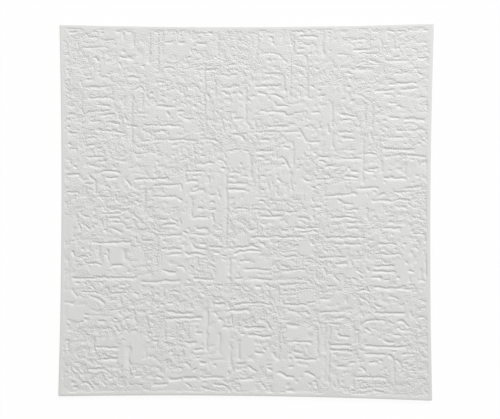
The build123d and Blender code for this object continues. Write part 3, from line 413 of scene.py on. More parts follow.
# Smooth places that the trowel passed over, each as left, bottom, right, top in millimetres
CALM_PATCHES = (
    (-110, 205, -70, 235), (80, 205, 130, 240), (20, 140, 50, 162), (84, 120, 116, 168),
    (-242, -34, -229, -8), (-208, -86, -191, -74), (-178, -68, -160, -50), (-150, -70, -137, -50),
    (-147, -108, -138, -97), (-198, -180, -172, -170), (-160, -208, -133, -163), (-188, -208, -170, -199),
    (-104, -158, -92, -146), (-79, -197, -70, -179), (-47, -178, -33, -160), (-29, -200, -18, -160),
    (-99, -236, -88, -226), (-2, -193, 12, -170), (57, -170, 86, -152), (88, -222, 107, -200),
    (0, -240, 13, -228), (133, -232, 144, -215), (164, -216, 180, -206), (185, -205, 195, -193),
    (163, -175, 175, -163), (-113, -78, -100, -58), (-39, -95, -20, -62), (-38, -18, -26, 0),
    (-10, -44, 5, -28), (55, -19, 68, -6), (72, -58, 91, -38), (52, -88, 82, -80), (16, -74, 38, -60),
    (76, -118, 92, -106), (142, -58, 149, -44), (203, -94, 220, -62), (211, -55, 219, -14),
    (133, -86, 148, -76), (-241, 70, -221, 80), (-220, 52, -203, 60), (-149, 100, -139, 113),
    (-80, 106, -62, 119), (-120, 84, -102, 90), (-19, 58, -2, 80), (-46, 31, -33, 42), (-12, 92, -2, 101),
    (45, 74, 62, 85), (20, 90, 38, 97), (68, 75, 80, 88), (70, 46, 80, 57), (69, 25, 85, 42),
    (-2, 10, 18, 28), (-3, 62, 8, 80), (112, 3, 128, 16), (82, 14, 90, 30), (112, 28, 125, 37),
    (130, 110, 138, 120), (126, 86, 140, 92), (184, 62, 198, 72), (180, 30, 203, 38), (140, 10, 165, 21),
    (205, 34, 217, 40), (171, -3, 184, 10), (227, 78, 240, 88), (189, 90, 208, 98), (-193, 190, -176, 198),
    (-202, 171, -182, 177), (-158, 222, -152, 236), (-239, 134, -221, 140), (-216, 183, -209, 189),
    (-159, 170, -145, 178), (-157, 192, -149, 200), (-138, 186, -131, 191), (-64, 214, -51, 224),
    (-99, 172, -91, 180), (-76, 158, -64, 166), (-79, 134, -62, 141), (-80, 182, -66, 189),
    (-32, 171, -3, 179), (-57, 176, -47, 188), (-102, 153, -90, 161), (-20, 201, -10, 208),
    (43, 214, 57, 222), (22, 215, 30, 221), (69, 176, 79, 183), (8, 138, 36, 147), (115, 148, 126, 158),
    (134, 235, 165, 240), (150, 176, 171, 188), (145, 203, 160, 208), (200, 191, 214, 199),
    (200, 177, 226, 183), (129, 143, 142, 150),
)

# The raster that the relief is worked out on: its step and half its side. Lengths from here on are in
# millimetres, up to where metres are named
DIE_STEP = 0.5
DIE_HALF = 256.0
DIE_LINE = np.arange(-DIE_HALF, DIE_HALF + DIE_STEP, DIE_STEP)
DIE_X, DIE_Y = np.meshgrid(DIE_LINE, DIE_LINE)

# From the places of the strokes above to the tile's own
PATTERN_SHIFT = (-0.5, -0.5)
# Finer corrections to those places: up, or right, and how much further the level ones run at each end
LEVEL_LIFT = 1.4
LEVEL_EXTRA = 1.0
UPRIGHT_SHIFT = 0.4
BOWED_LIFT = 1.3

# Depths as shares of the stroke depth. A pair is a range that chance draws from
LEVEL_DEPTH = (0.75, 1.0)
UPRIGHT_DEPTH = 0.75
MARK_DEPTH = (0.75, 1.05)
RIGHT_RIM_DEPTH = 0.6
BOTTOM_RIM_DEPTH = 0.35

# Widths of each kind of stroke: its steep wall, its ramp and the slope at its ends
LEVEL_WALLS = {"steep": 1.6, "ramp": 4.2}
UPRIGHT_WALLS = {"steep": 1.5, "ramp": 8.0}
MARK_WALLS = {"steep": 1.5, "end": 2.2}
MARK_RAMP = (2.6, 4.0)
RIGHT_RIM_WALLS = {"steep": 1.3, "ramp": 3.0}
BOTTOM_RIM_WALLS = {"steep": 1.4, "ramp": 10.0, "end": 8.0}
# A ramp is a little hollow: the stroke's depth on it is this power of the share of it that is left
RAMP_POWER = 1.4

# Spreads of the noises along x and along y
SLOW_SPREAD_X = (3.0, 2.6)
SLOW_SPREAD_Y = (3.2, 2.6)
QUICK_SPREAD = (1.4, 1.3)
ROUGH_SPREAD = (14, 12)
RAGGED_SPREAD = (1.8, 1.4)
GRAIN_SPREAD = (1.2, 1.0)

# How far the lines waver, slowly and quickly, along x and y, and how far that may carry a stroke
SLOW_WAVER = (0.45, 0.45)
QUICK_WAVER = (0.50, 0.40)
WAVER_REACH = 4

# Roughness of the ground: its mean and swing, and what a smooth place takes off it, over a slope of this
# width that starts this far outside the place
ROUGH_MEAN = 0.2
ROUGH_SWING = 0.6
CALM_LOSS = 3
CALM_SLOPE = 3
CALM_OUTSIDE = 1

# Scattered strokes: how far from the middle their own middles lie at most, the logarithm of their length
# and its spread, the limits of the length, the spread of their lean in degrees, and their depth
SCATTER_HALF = 241
LOG_LENGTH = 2.4
LOG_LENGTH_SPREAD = 0.55
LENGTH_LIMITS = (5, 45)
LEAN_SPREAD = 3.5
SCATTER_DEPTH = (0.3, 0.6)
# None is pressed where the ground is smoother than this
ROUGH_ENOUGH = -1.0
# Nor where this share of the ground is pressed already, out to this far round it, deeper than this
LEVEL_TAKEN = 0.12
UPRIGHT_TAKEN = 0.10
LEVEL_ROUND = 2.4
UPRIGHT_ROUND = 2.2
PRESSED_FROM = 0.2
# The level ones' ramp and the spread of their bow
SCATTER_RAMP = (2.2, 3.8)
BOW_SPREAD = 0.8
# The upright ones' share, how much longer and shallower they are, and their walls
UPRIGHT_SHARE = 0.30
UPRIGHT_LONGER = 1.3
UPRIGHT_SHALLOWER = 0.8
SCATTER_UPRIGHT_WALLS = {"steep": 1.4, "ramp": 2.2}

# Hollows between the strokes, each kind as its cells' width and height, the bar that a cell's noise has
# to pass, and its depth
BLOCK_KINDS = ((8.0, 7.0, 0.9, 0.5), (5.0, 5.0, 1.3, 0.45), (16.0, 5.0, 1.3, 0.5), (4.4, 15.0, 1.4, 0.6))
# How much the ground's roughness and a finer noise add to a cell's noise, and how fast it deepens past
# its bar
ROUGH_WEIGHT = 0.6
RAGGED_WEIGHT = 0.45
HOLLOW_SLOPE = 2.0
# How long their slopes towards the bottom and the left run for each millimetre of depth
HOLLOW_RAMPS = (3.2, 2.6)
# They keep off the strokes: the free share of the ground is FREE_GROUND less FREE_LOSS times the
# strokes' depth, which is a share of the stroke depth and blurred by STROKE_BLUR
STROKE_BLUR = (2.2, 2.0)
FREE_LOSS = 5.0
FREE_GROUND = 1.4

# The foam rounds the whole relief off by this blur
FOAM_BLUR = (0.85, 0.9)
# The press closed a little harder towards the bottom and the left: its level in the middle, and how
# much less it is at the raster's top and at its right
PRESS_MEAN = 1.08
PRESS_LOSS_UP = 0.17
PRESS_LOSS_RIGHT = 0.06

# The skin's grain: its depth, how far below zero the roughness is where it sets in, and over how much
GRAIN_DEPTH = 0.05
GRAIN_BELOW = 1.2
GRAIN_RANGE = 2
# In smooth places it sets in up the tile, this far below the middle, over this height, to this share
SMOOTH_GRAIN_BELOW = 60
SMOOTH_GRAIN_RANGE = 260
SMOOTH_GRAIN_SHARE = 0.55

# The mesh's lines next to each side of the tile
EDGE_OFFSETS = np.array([0, 0.07, 0.25, 0.5, 0.8, 1.6, 2.5, 3.5, 4.3, 4.9, 5.5, 6.2])
# The slope from the rim down to the field: its width, and how far outside the rim's inner line it starts
RIM_SLOPE = 1.8
RIM_SLOPE_OUTSIDE = 1.2
# Bevel round the glue face
BACK_BEVEL = 0.25
# Below these a length in millimetres and a sum of areas in square metres are nothing
NO_LENGTH = 1e-9
NO_AREA = 1e-12

# Sizes of the foam's patterns in metres: patches of denser foam, crumbs of its skin, and finer grains
DENSE_PATCH = 0.035
CRUMB = 0.0028
GRAIN = 0.0017

# Share of the card that shows as plain white, the cells along its side, and its drop below the tile in
# metres
WHITE_SHARE = 0.93
FLOOR_CELLS = 4
FLOOR_DROP = 0.0003


def linear(hex_colour):
    """An sRGB hex value as a linear colour, by the sRGB curve for each channel."""
    channels = np.array([int(hex_colour[i : i + 2], 16) / 255 for i in (1, 3, 5)])
    low, high = channels / 12.92, ((channels + 0.055) / 1.055) ** 2.4
    return tuple(float(c) for c in np.where(channels <= 0.04045, low, high))


def ease(t):
    """0 to 1 without a kink at either end: 3t squared less 2t cubed, with t held between 0 and 1."""
    t = np.clip(t, 0, 1)
    return t * t * (3 - 2 * t)


def blurred(sheet, spread_x, spread_y):
    """A die-sized array blurred by a Gaussian with these spreads in millimetres."""
    waves = np.fft.fftfreq(len(DIE_LINE), DIE_STEP)
    squares = (waves[None, :] * spread_x) ** 2 + (waves[:, None] * spread_y) ** 2
    return np.fft.ifft2(np.fft.fft2(sheet) * np.exp(-2 * np.pi**2 * squares)).real


def drift(spreads, seed):
    """Seeded noise over the die: white noise blurred to these spreads, with a deviation of 1. Each
    noise adds a number of its own to the tile's seed, so that no two are alike."""
    noise = blurred(np.random.default_rng(seed).standard_normal(DIE_X.shape), *spreads)
    return noise / noise.std()


def spread_walls(hollows, ramp_down, ramp_left):
    """Each hollow keeps its upper and right edge steep, and runs out in a slope towards the bottom and
    the left: the depth at a point is the largest depth above it, or right of it, less the distance over
    the ramp's length."""
    falls = DIE_LINE[:, None] / ramp_down
    down = np.maximum.accumulate((hollows - falls)[::-1], axis=0)[::-1] + falls
    falls = DIE_LINE[None, :] / ramp_left
    left = np.maximum.accumulate((hollows - falls)[:, ::-1], axis=1)[:, ::-1] + falls
    return np.maximum(down, left)


class PressDie:
    """The relief as a depth in millimetres below the field, on the raster's points. Strokes and hollows
    are worked out in wavering coordinates: a point's own, less the pattern's shift, plus two noises."""

    def __init__(self, seed):
        self.chance = np.random.default_rng(seed)
        self.depth = np.zeros_like(DIE_X)
        self.x = DIE_X - PATTERN_SHIFT[0] + SLOW_WAVER[0] * drift(SLOW_SPREAD_X, seed + 1)
        self.y = DIE_Y - PATTERN_SHIFT[1] + SLOW_WAVER[1] * drift(SLOW_SPREAD_Y, seed + 2)
        self.x += QUICK_WAVER[0] * drift(QUICK_SPREAD, seed + 6)
        self.y += QUICK_WAVER[1] * drift(QUICK_SPREAD, seed + 7)

    def window(self, x1, y1, x2, y2, margin):
        """The raster's rows and columns round a stroke."""
        rows = slice(*np.searchsorted(DIE_LINE, (min(y1, y2) - margin, max(y1, y2) + margin)))
        columns = slice(*np.searchsorted(DIE_LINE, (min(x1, x2) - margin, max(x1, x2) + margin)))
        return rows, columns

    def stroke(self, line, depth, steep=1.2, ramp=3.6, bow=0.0, end=3.5):
        """One stroke along a line of points. Across it, with d the distance to the line's left: a steep
        wall half on each side of the line, eased, and a slightly hollow ramp on its right. The line is
        bowed to the left by a parabola, and the depth eases to nothing at each end."""
        points = np.reshape(line, (-1, 2)).astype(float)
        rows, columns = self.window(*points.min(0), *points.max(0), WAVER_REACH + ramp + abs(bow))
        x, y = self.x[rows, columns], self.y[rows, columns]
        miss, d, along = np.full(x.shape, np.inf), np.zeros(x.shape), np.zeros(x.shape)
        passed = 0.0
        for (x1, y1), (x2, y2) in zip(points[:-1], points[1:]):
            run = math.hypot(x2 - x1, y2 - y1)
            cos, sin = (x2 - x1) / run, (y2 - y1) / run
            t = (x - x1) * cos + (y - y1) * sin
            left = (y - y1) * cos - (x - x1) * sin
            gap = np.hypot(left, t - np.clip(t, 0, run))
            nearer = gap < miss
            miss = np.where(nearer, gap, miss)
            d = np.where(nearer, np.copysign(gap, left), d)
            along = np.where(nearer, passed + np.clip(t, 0, run), along)
            passed += run
        share = along / passed
        d = d - bow * 4 * share * (1 - share) + steep / 2
        wall = np.where(d > 0, ease(1 - d / steep), np.clip(1 + d / ramp, 0, 1) ** RAMP_POWER)
        ends = ease(np.minimum(along, passed - along) / end)
        self.depth[rows, columns] = np.maximum(self.depth[rows, columns], depth * wall * ends)

    def blocks(self, width, height, seed):
        """Seeded noise that is even over each cell of this width and height, with wavering borders."""
        # The cells go a tenth beyond the raster, so that no wavering place falls outside them
        reach = 1.1 * DIE_HALF
        rows, columns = (int(2 * reach / size) for size in (height, width))
        cells = np.random.default_rng(seed).standard_normal((rows, columns))
        row = np.clip((self.y + reach) / height, 0, rows - 1).astype(int)
        column = np.clip((self.x + reach) / width, 0, columns - 1).astype(int)
        return cells[row, column]

    def taken(self, x1, y1, x2, y2, margin):
        """How much of the ground round a stroke is pressed already, from 0 to 1."""
        rows, columns = self.window(x1, y1, x2, y2, margin)
        return (self.depth[rows, columns] > PRESSED_FROM).mean()


def press_placed(die, deep):
    """The strokes and marks listed above, each pressed to its kind's share of the stroke depth."""
    for x1, y1, x2, y2 in LEVEL_STROKES:
        depth = deep * die.chance.uniform(*LEVEL_DEPTH)
        line = (x1 - LEVEL_EXTRA, y1 + LEVEL_LIFT, x2 + LEVEL_EXTRA, y2 + LEVEL_LIFT)
        die.stroke(line, depth, **LEVEL_WALLS)
    for x, top, bottom in UPRIGHT_STROKES:
        line = (x + UPRIGHT_SHIFT, top, x + UPRIGHT_SHIFT, bottom)
        die.stroke(line, UPRIGHT_DEPTH * deep, **UPRIGHT_WALLS)
    for x1, y1, x2, y2, bow in BOWED_STROKES:
        die.stroke((x1, y1 + BOWED_LIFT, x2, y2 + BOWED_LIFT), deep, bow=bow)
    for line in TOP_MARKS + BOTTOM_MARKS:
        depth = deep * die.chance.uniform(*MARK_DEPTH)
        die.stroke(line, depth, ramp=die.chance.uniform(*MARK_RAMP), **MARK_WALLS)
    for line in RIGHT_RIM_MARKS:
        die.stroke(line, RIGHT_RIM_DEPTH * deep, **RIGHT_RIM_WALLS)
    for line in BOTTOM_RIM_MARKS:
        die.stroke(line, BOTTOM_RIM_DEPTH * deep, **BOTTOM_RIM_WALLS)


def ground_roughness(seed):
    """How rough the ground is: slow noise about its mean, less a loss in each smooth place, which eases
    in with the distance to the place's nearest side."""
    roughness = ROUGH_SWING * drift(ROUGH_SPREAD, seed + 3) + ROUGH_MEAN
    for left, bottom, right, top in CALM_PATCHES:
        across = np.minimum(DIE_X - left, right - DIE_X)
        inside = np.minimum(across, np.minimum(DIE_Y - bottom, top - DIE_Y))
        roughness = roughness - CALM_LOSS * ease((inside + CALM_OUTSIDE) / CALM_SLOPE)
    return roughness


def press_scattered(die, deep, roughness, tries):
    """Short strokes tried at random places, and pressed where the ground is neither smooth nor taken.
    Their length is e to the power of a normal draw, and they lean a little off level or off upright."""
    for _ in range(tries):
        x, y = die.chance.uniform(-SCATTER_HALF, SCATTER_HALF, 2)
        run = float(np.clip(die.chance.lognormal(LOG_LENGTH, LOG_LENGTH_SPREAD), *LENGTH_LIMITS))
        upright = die.chance.random() < UPRIGHT_SHARE
        lean = math.radians(die.chance.normal(0, LEAN_SPREAD))
        depth = deep * die.chance.uniform(*SCATTER_DEPTH)
        row, column = np.searchsorted(DIE_LINE, (y, x))
        if roughness[row, column] < ROUGH_ENOUGH:
            continue
        if upright:
            run *= UPRIGHT_LONGER
            line = (
                x + run / 2 * math.sin(lean), y + run / 2,
                x - run / 2 * math.sin(lean), y - run / 2,
            )
            if die.taken(*line, UPRIGHT_ROUND) < UPRIGHT_TAKEN:
                die.stroke(line, UPRIGHT_SHALLOWER * depth, **SCATTER_UPRIGHT_WALLS)
        else:
            line = (
                x - run / 2, y - run / 2 * math.sin(lean),
                x + run / 2, y + run / 2 * math.sin(lean),
            )
            if die.taken(*line, LEVEL_ROUND) < LEVEL_TAKEN:
                ramp = die.chance.uniform(*SCATTER_RAMP)
                die.stroke(line, depth, ramp=ramp, bow=die.chance.normal(0, BOW_SPREAD))


def ground_hollows(die, deep, roughness, seed):
    """Ragged hollows in the free ground: where a cell's noise passes its kind's bar, the depth grows
    with what is past it, the deepest kind counts, and each runs out towards the bottom and the left."""
    ragged = RAGGED_WEIGHT * drift(RAGGED_SPREAD, seed + 4) + ROUGH_WEIGHT * roughness
    hollows = np.zeros_like(DIE_X)
    for number, (width, height, bar, low) in enumerate(BLOCK_KINDS):
        cells = die.blocks(width, height, seed + 20 + number) + ragged
        hollows = np.maximum(hollows, low * np.clip((cells - bar) * HOLLOW_SLOPE, 0, 1))
    free = ease(FREE_GROUND - FREE_LOSS * blurred(die.depth / deep, *STROKE_BLUR))
    return spread_walls(hollows * free, *HOLLOW_RAMPS)


def press_relief(settings):
    """The whole relief: the listed strokes, short ones scattered into the free ground between
    them, then hollows where the noise of small cells passes a bar, all with wavering lines and rounded
    off by a blur. It gives the depth in millimetres, the depth as a share of the stroke depth, and how
    grained the skin is from 0 to 1."""
    die = PressDie(settings.seed)
    deep = settings.stroke_depth * MM
    roughness = ground_roughness(settings.seed)
    press_placed(die, deep)
    press_scattered(die, deep, roughness, settings.scatter_tries)
    hollows = ground_hollows(die, deep, roughness, settings.seed)
    depth = blurred(np.maximum(die.depth, hollows), *FOAM_BLUR)
    depth *= PRESS_MEAN - (PRESS_LOSS_UP * DIE_Y + PRESS_LOSS_RIGHT * DIE_X) / DIE_HALF
    # The skin is finely grained in the rough places, and towards the top in the smooth ones too
    smooth_grain = SMOOTH_GRAIN_SHARE * ease((DIE_Y + SMOOTH_GRAIN_BELOW) / SMOOTH_GRAIN_RANGE)
    crumbs = np.maximum(ease((roughness + GRAIN_BELOW) / GRAIN_RANGE), smooth_grain)
    return depth + GRAIN_DEPTH * crumbs * drift(GRAIN_SPREAD, settings.seed + 5), depth / deep, crumbs


def sampled(sheet, x, y):
    """A die-sized array read at any points, in millimetres, by bilinear interpolation. A place is held
    just short of the last point, so that there is always a next one."""
    last = len(DIE_LINE) - 1.001
    column, row = (np.clip((place + DIE_HALF) / DIE_STEP, 0, last) for place in (x, y))
    i, j = row.astype(int), column.astype(int)
    v, u = row - i, column - j
    low = sheet[i, j] * (1 - u) + sheet[i, j + 1] * u
    high = sheet[i + 1, j] * (1 - u) + sheet[i + 1, j + 1] * u
    return low * (1 - v) + high * v


def grid_line(half, cells):
    """Places of the grid's lines from -half to half: close together over the rounded edge and the rim's
    inner edge, even from there on."""
    inner = np.linspace(-half + EDGE_OFFSETS[-1], half - EDGE_OFFSETS[-1], cells + 1)
    return np.concatenate([-half + EDGE_OFFSETS[:-1], inner, (half - EDGE_OFFSETS[:-1])[::-1]])


def foam_surface(settings):
    """The pressed face on a grid of two parameters u and v, the straight square's own millimetres. Each
    corner's square cell is drawn in to a quarter circle along rays from its inner corner, and each side
    is drawn in by a parabola, hollow at its middle and nothing at its ends. The height is the sheet's
    thickness, less the rounded edge's quarter circle, less the rim's fall, a parabola that is deepest
    at the outer edge, less the field's drop and the relief inside the rim."""
    half, radius = settings.side * MM / 2, settings.corner_radius * MM
    line = grid_line(half, settings.cells)
    u, v = np.meshgrid(line, line)
    over_u, over_v = (np.clip((np.abs(c) - (half - radius)) / radius, 0, 1) for c in (u, v))
    reach = np.maximum(over_u, over_v)
    corner = (over_u > 0) & (over_v > 0)
    pull = reach / np.maximum(np.hypot(over_u, over_v), NO_LENGTH)
    u = np.where(corner, np.sign(u) * (half - radius + radius * over_u * pull), u)
    v = np.where(corner, np.sign(v) * (half - radius + radius * over_v * pull), v)
    from_edge = np.where(corner, radius * (1 - reach), half - np.maximum(np.abs(u), np.abs(v)))
    hollow = settings.side_hollow * MM / half
    x = u * (1 - hollow * (1 - (v / half) ** 2))
    y = v * (1 - hollow * (1 - (u / half) ** 2))

    turn = settings.edge_round * MM
    left_over = np.clip(turn - from_edge, 0, turn)
    rounded = turn - np.sqrt(turn**2 - left_over**2)
    rim = settings.rim_width * MM
    field = ease((from_edge - rim + RIM_SLOPE_OUTSIDE) / RIM_SLOPE)
    relief, pressed, crumbs = (sampled(sheet, x, y) for sheet in press_relief(settings))
    fall = settings.rim_fall * MM * np.clip(1 - from_edge / (rim - RIM_SLOPE_OUTSIDE), 0, 1) ** 2
    z = settings.thickness * MM - rounded - fall - field * (settings.field_drop * MM + relief)
    return x, y, z, field * pressed, field * crumbs


def grid_quads(rows, columns):
    """The corner numbers of each cell of a grid of points, and the grid of numbers itself."""
    index = np.arange(rows * columns).reshape(rows, columns)
    quads = np.stack([index[:-1, :-1], index[:-1, 1:], index[1:, 1:], index[1:, :-1]], -1)
    return quads.reshape(-1, 4), index


def build_foam_mesh(name, settings):
    """The closed tile: the pressed face, the cut sides as two rings below its border, and the flat back
    as a fan."""
    x, y, z, pressed, crumbs = foam_surface(settings)
    face, index = grid_quads(*x.shape)
    border = np.concatenate([index[0, :-1], index[:-1, -1], index[-1, :0:-1], index[:0:-1, 0]])
    points = np.stack([x, y, z], -1).reshape(-1, 3)
    rim = points[border]
    ring = np.arange(len(border))
    after = np.roll(ring, -1)
    side = np.column_stack([rim[:, :2], np.full(len(rim), BACK_BEVEL)])
    drawn_in = 1 - BACK_BEVEL / (settings.side * MM / 2)
    foot = np.column_stack([rim[:, :2] * drawn_in, np.zeros(len(rim))])
    side_at = index.size + ring
    foot_at = side_at + len(ring)
    middle = index.size + 2 * len(ring)
    walls = np.stack([side_at, side_at[after], border[after], border], -1)
    bevel = np.stack([foot_at, foot_at[after], side_at[after], side_at], -1)
    fan = np.stack([foot_at[after], foot_at, np.full(len(ring), middle)], -1)
    points = np.concatenate([points, side, foot, [[0.0, 0.0, 0.0]]]) / MM

    quads = np.concatenate([face, walls, bevel])
    corners = np.concatenate([quads.ravel(), fan.ravel()])
    starts = np.concatenate([np.arange(len(quads)) * 4, len(quads) * 4 + np.arange(len(fan)) * 3])
    smooth = np.arange(len(quads) + len(fan)) < len(face) + len(walls)
    mesh = bpy.data.meshes.new(name)
    mesh.vertices.add(len(points))
    mesh.vertices.foreach_set("co", points.ravel())
    mesh.loops.add(len(corners))
    mesh.loops.foreach_set("vertex_index", corners)
    mesh.polygons.add(len(starts))
    mesh.polygons.foreach_set("loop_start", starts)
    mesh.polygons.foreach_set("use_smooth", smooth)
    mesh.update(calc_edges=True)
    mesh.validate()
    for key, values in (("pressed", pressed), ("crumbs", crumbs)):
        column = np.zeros(len(points))
        column[: index.size] = values.ravel()
        mesh.attributes.new(key, "FLOAT", "POINT").data.foreach_set("value", column)
    return mesh


def thinned(mesh, triangles):
    """The mesh collapsed to this many triangles where it is nearly flat, so that they are left to the
    strokes' walls. Each point's normal is then the sum of its faces' normals by area, which keeps the
    flat ground flat."""
    fine = bpy.data.objects.new(mesh.name + "_fine", mesh)
    bpy.context.scene.collection.objects.link(fine)
    mesh.calc_loop_triangles()
    thinner = fine.modifiers.new("thinner", "DECIMATE")
    thinner.ratio = triangles / len(mesh.loop_triangles)
    thinner.use_collapse_triangulate = True
    view = bpy.context.evaluated_depsgraph_get()
    thin = bpy.data.meshes.new_from_object(
        fine.evaluated_get(view), preserve_all_data_layers=True, depsgraph=view
    )
    bpy.data.objects.remove(fine)
    bpy.data.meshes.remove(mesh)
    points = np.empty(3 * len(thin.vertices))
    thin.vertices.foreach_get("co", points)
    corners = np.empty(len(thin.loops), int)
    thin.loops.foreach_get("vertex_index", corners)
    smooth = np.empty(len(thin.polygons), bool)
    thin.polygons.foreach_get("use_smooth", smooth)
    points, corners = points.reshape(-1, 3), corners.reshape(-1, 3)[smooth]
    a, b, c = (points[corners[:, k]] for k in range(3))
    areas = np.cross(b - a, c - a)
    sums = [np.bincount(corners.ravel(), np.repeat(areas[:, k], 3), len(points)) for k in range(3)]
    normals = np.stack(sums, -1)
    normals /= np.maximum(np.linalg.norm(normals, axis=1, keepdims=True), NO_AREA)
    thin.normals_split_custom_set_from_vertices(normals.tolist())
    return thin


def add_node(tree, kind, inputs=(), **settings):
    """Adds a node of that kind with its settings. inputs pairs a socket's name or number with a value,
    or with the (node, output) that is linked to it."""
    node = tree.nodes.new(kind)
    for key, value in settings.items():
        setattr(node, key, value)
    for socket, value in inputs:
        if isinstance(value, tuple) and isinstance(value[0], bpy.types.Node):
            tree.links.new(value[0].outputs[value[1]], node.inputs[socket])
        else:
            node.inputs[socket].default_value = value
    return node


def new_material(name):
    """A node material with no node in it yet."""
    material = bpy.data.materials.new(name)
    material.use_nodes = True
    material.node_tree.nodes.clear()
    return material


def foam_material(colours):
    """Polystyrene foam, pressed hot: off-white, and its closed skin has a soft satin sheen that breaks
    up into small glints over the fine crumbs of the rough places and stays even in the trowelled-flat
    ones."""
    material = new_material("polystyrene_foam_hot_pressed")
    tree = material.node_tree
    place = add_node(tree, "ShaderNodeTexCoord")
    # Patches of slightly denser foam
    density = add_node(
        tree, "ShaderNodeTexNoise",
        [("Vector", (place, "Object")), ("Scale", 1 / DENSE_PATCH), ("Detail", 2.0), ("Roughness", 0.5)],
    )
    colour = add_node(
        tree, "ShaderNodeMix",
        [("Factor", (density, "Fac")), (6, (*colours.foam, 1.0)), (7, (*colours.dense_foam, 1.0))],
        data_type="RGBA",
    )
    # The skin's crumbs, which break up the edges of the strokes, most of all in the rough places
    crumbs = add_node(
        tree, "ShaderNodeTexNoise",
        [("Vector", (place, "Object")), ("Scale", 1 / CRUMB), ("Detail", 1.5), ("Roughness", 0.55)],
    )
    pressed = add_node(tree, "ShaderNodeAttribute", attribute_name="pressed")
    rough = add_node(tree, "ShaderNodeAttribute", attribute_name="crumbs")
    reach = add_node(
        tree, "ShaderNodeMapRange", [("Value", (rough, "Fac")), ("To Min", 0.35), ("To Max", 1.5)]
    )
    swing = add_node(tree, "ShaderNodeMath", [(0, (crumbs, "Fac")), (1, 0.5)], operation="SUBTRACT")
    edge = add_node(
        tree, "ShaderNodeMath", [(0, (swing, 0)), (1, (reach, 0)), (2, (pressed, "Fac"))],
        operation="MULTIPLY_ADD",
    )
    # The bump's height, in crumb heights: it falls over the strokes' walls, and the grains stand on it
    wall = add_node(
        tree, "ShaderNodeMapRange",
        [("Value", (edge, 0)), ("From Min", 0.2), ("From Max", 0.7), ("To Min", 0.75), ("To Max", 0.0)],
        interpolation_type="SMOOTHSTEP",
    )
    grains = add_node(
        tree, "ShaderNodeTexNoise",
        [("Vector", (place, "Object")), ("Scale", 1 / GRAIN), ("Detail", 1.0), ("Roughness", 0.5)],
    )
    grain_height = add_node(
        tree, "ShaderNodeMapRange", [("Value", (rough, "Fac")), ("To Min", 0.6), ("To Max", 2.4)]
    )
    height = add_node(
        tree, "ShaderNodeMath", [(0, (grains, "Fac")), (1, (grain_height, 0)), (2, (wall, 0))],
        operation="MULTIPLY_ADD",
    )
    bump = add_node(
        tree, "ShaderNodeBump",
        [("Height", (height, 0)), ("Strength", 1.0), ("Distance", colours.crumb_height)],
    )
    # Satin where the skin is flat, duller on the crumbs
    gloss = add_node(
        tree, "ShaderNodeMapRange",
        [
            ("Value", (crumbs, "Fac")), ("From Min", 0.35), ("From Max", 0.7),
            ("To Min", 0.52), ("To Max", 0.68),
        ],
    )
    # Polystyrene's own refractive index
    shader = add_node(
        tree, "ShaderNodeBsdfPrincipled",
        [("Base Color", (colour, 2)), ("Roughness", (gloss, 0)), ("IOR", 1.59), ("Normal", (bump, 0))],
    )
    add_node(tree, "ShaderNodeOutputMaterial", [("Surface", (shader, 0))])
    return material


def floor_material(colours):
    """Matt white card under the tile: it shows as the white background, and keeps a part of the tile's
    shadow."""
    material = new_material("white_card_matt")
    tree = material.node_tree
    card = add_node(tree, "ShaderNodeBsdfDiffuse", [("Color", (*colours.floor, 1.0)), ("Roughness", 0.9)])
    white = add_node(tree, "ShaderNodeEmission", [("Color", (1.0, 1.0, 1.0, 1.0)), ("Strength", 1.0)])
    seen = seen_directly(tree)
    share = add_node(tree, "ShaderNodeMath", [(0, (seen, 0)), (1, WHITE_SHARE)], operation="MULTIPLY")
    mix = add_node(tree, "ShaderNodeMixShader", [(0, (share, 0)), (1, (card, 0)), (2, (white, 0))])
    add_node(tree, "ShaderNodeOutputMaterial", [("Surface", (mix, 0))])
    return material


def seen_directly(tree):
    """1 for rays from the camera and for mirrored and see-through ones, and 0 for those that carry
    light."""
    rays = add_node(tree, "ShaderNodeLightPath")
    either = add_node(
        tree, "ShaderNodeMath", [(0, (rays, "Is Camera Ray")), (1, (rays, "Is Glossy Ray"))],
        operation="MAXIMUM",
    )
    return add_node(
        tree, "ShaderNodeMath", [(0, (either, 0)), (1, (rays, "Is Transmission Ray"))],
        operation="MAXIMUM",
    )


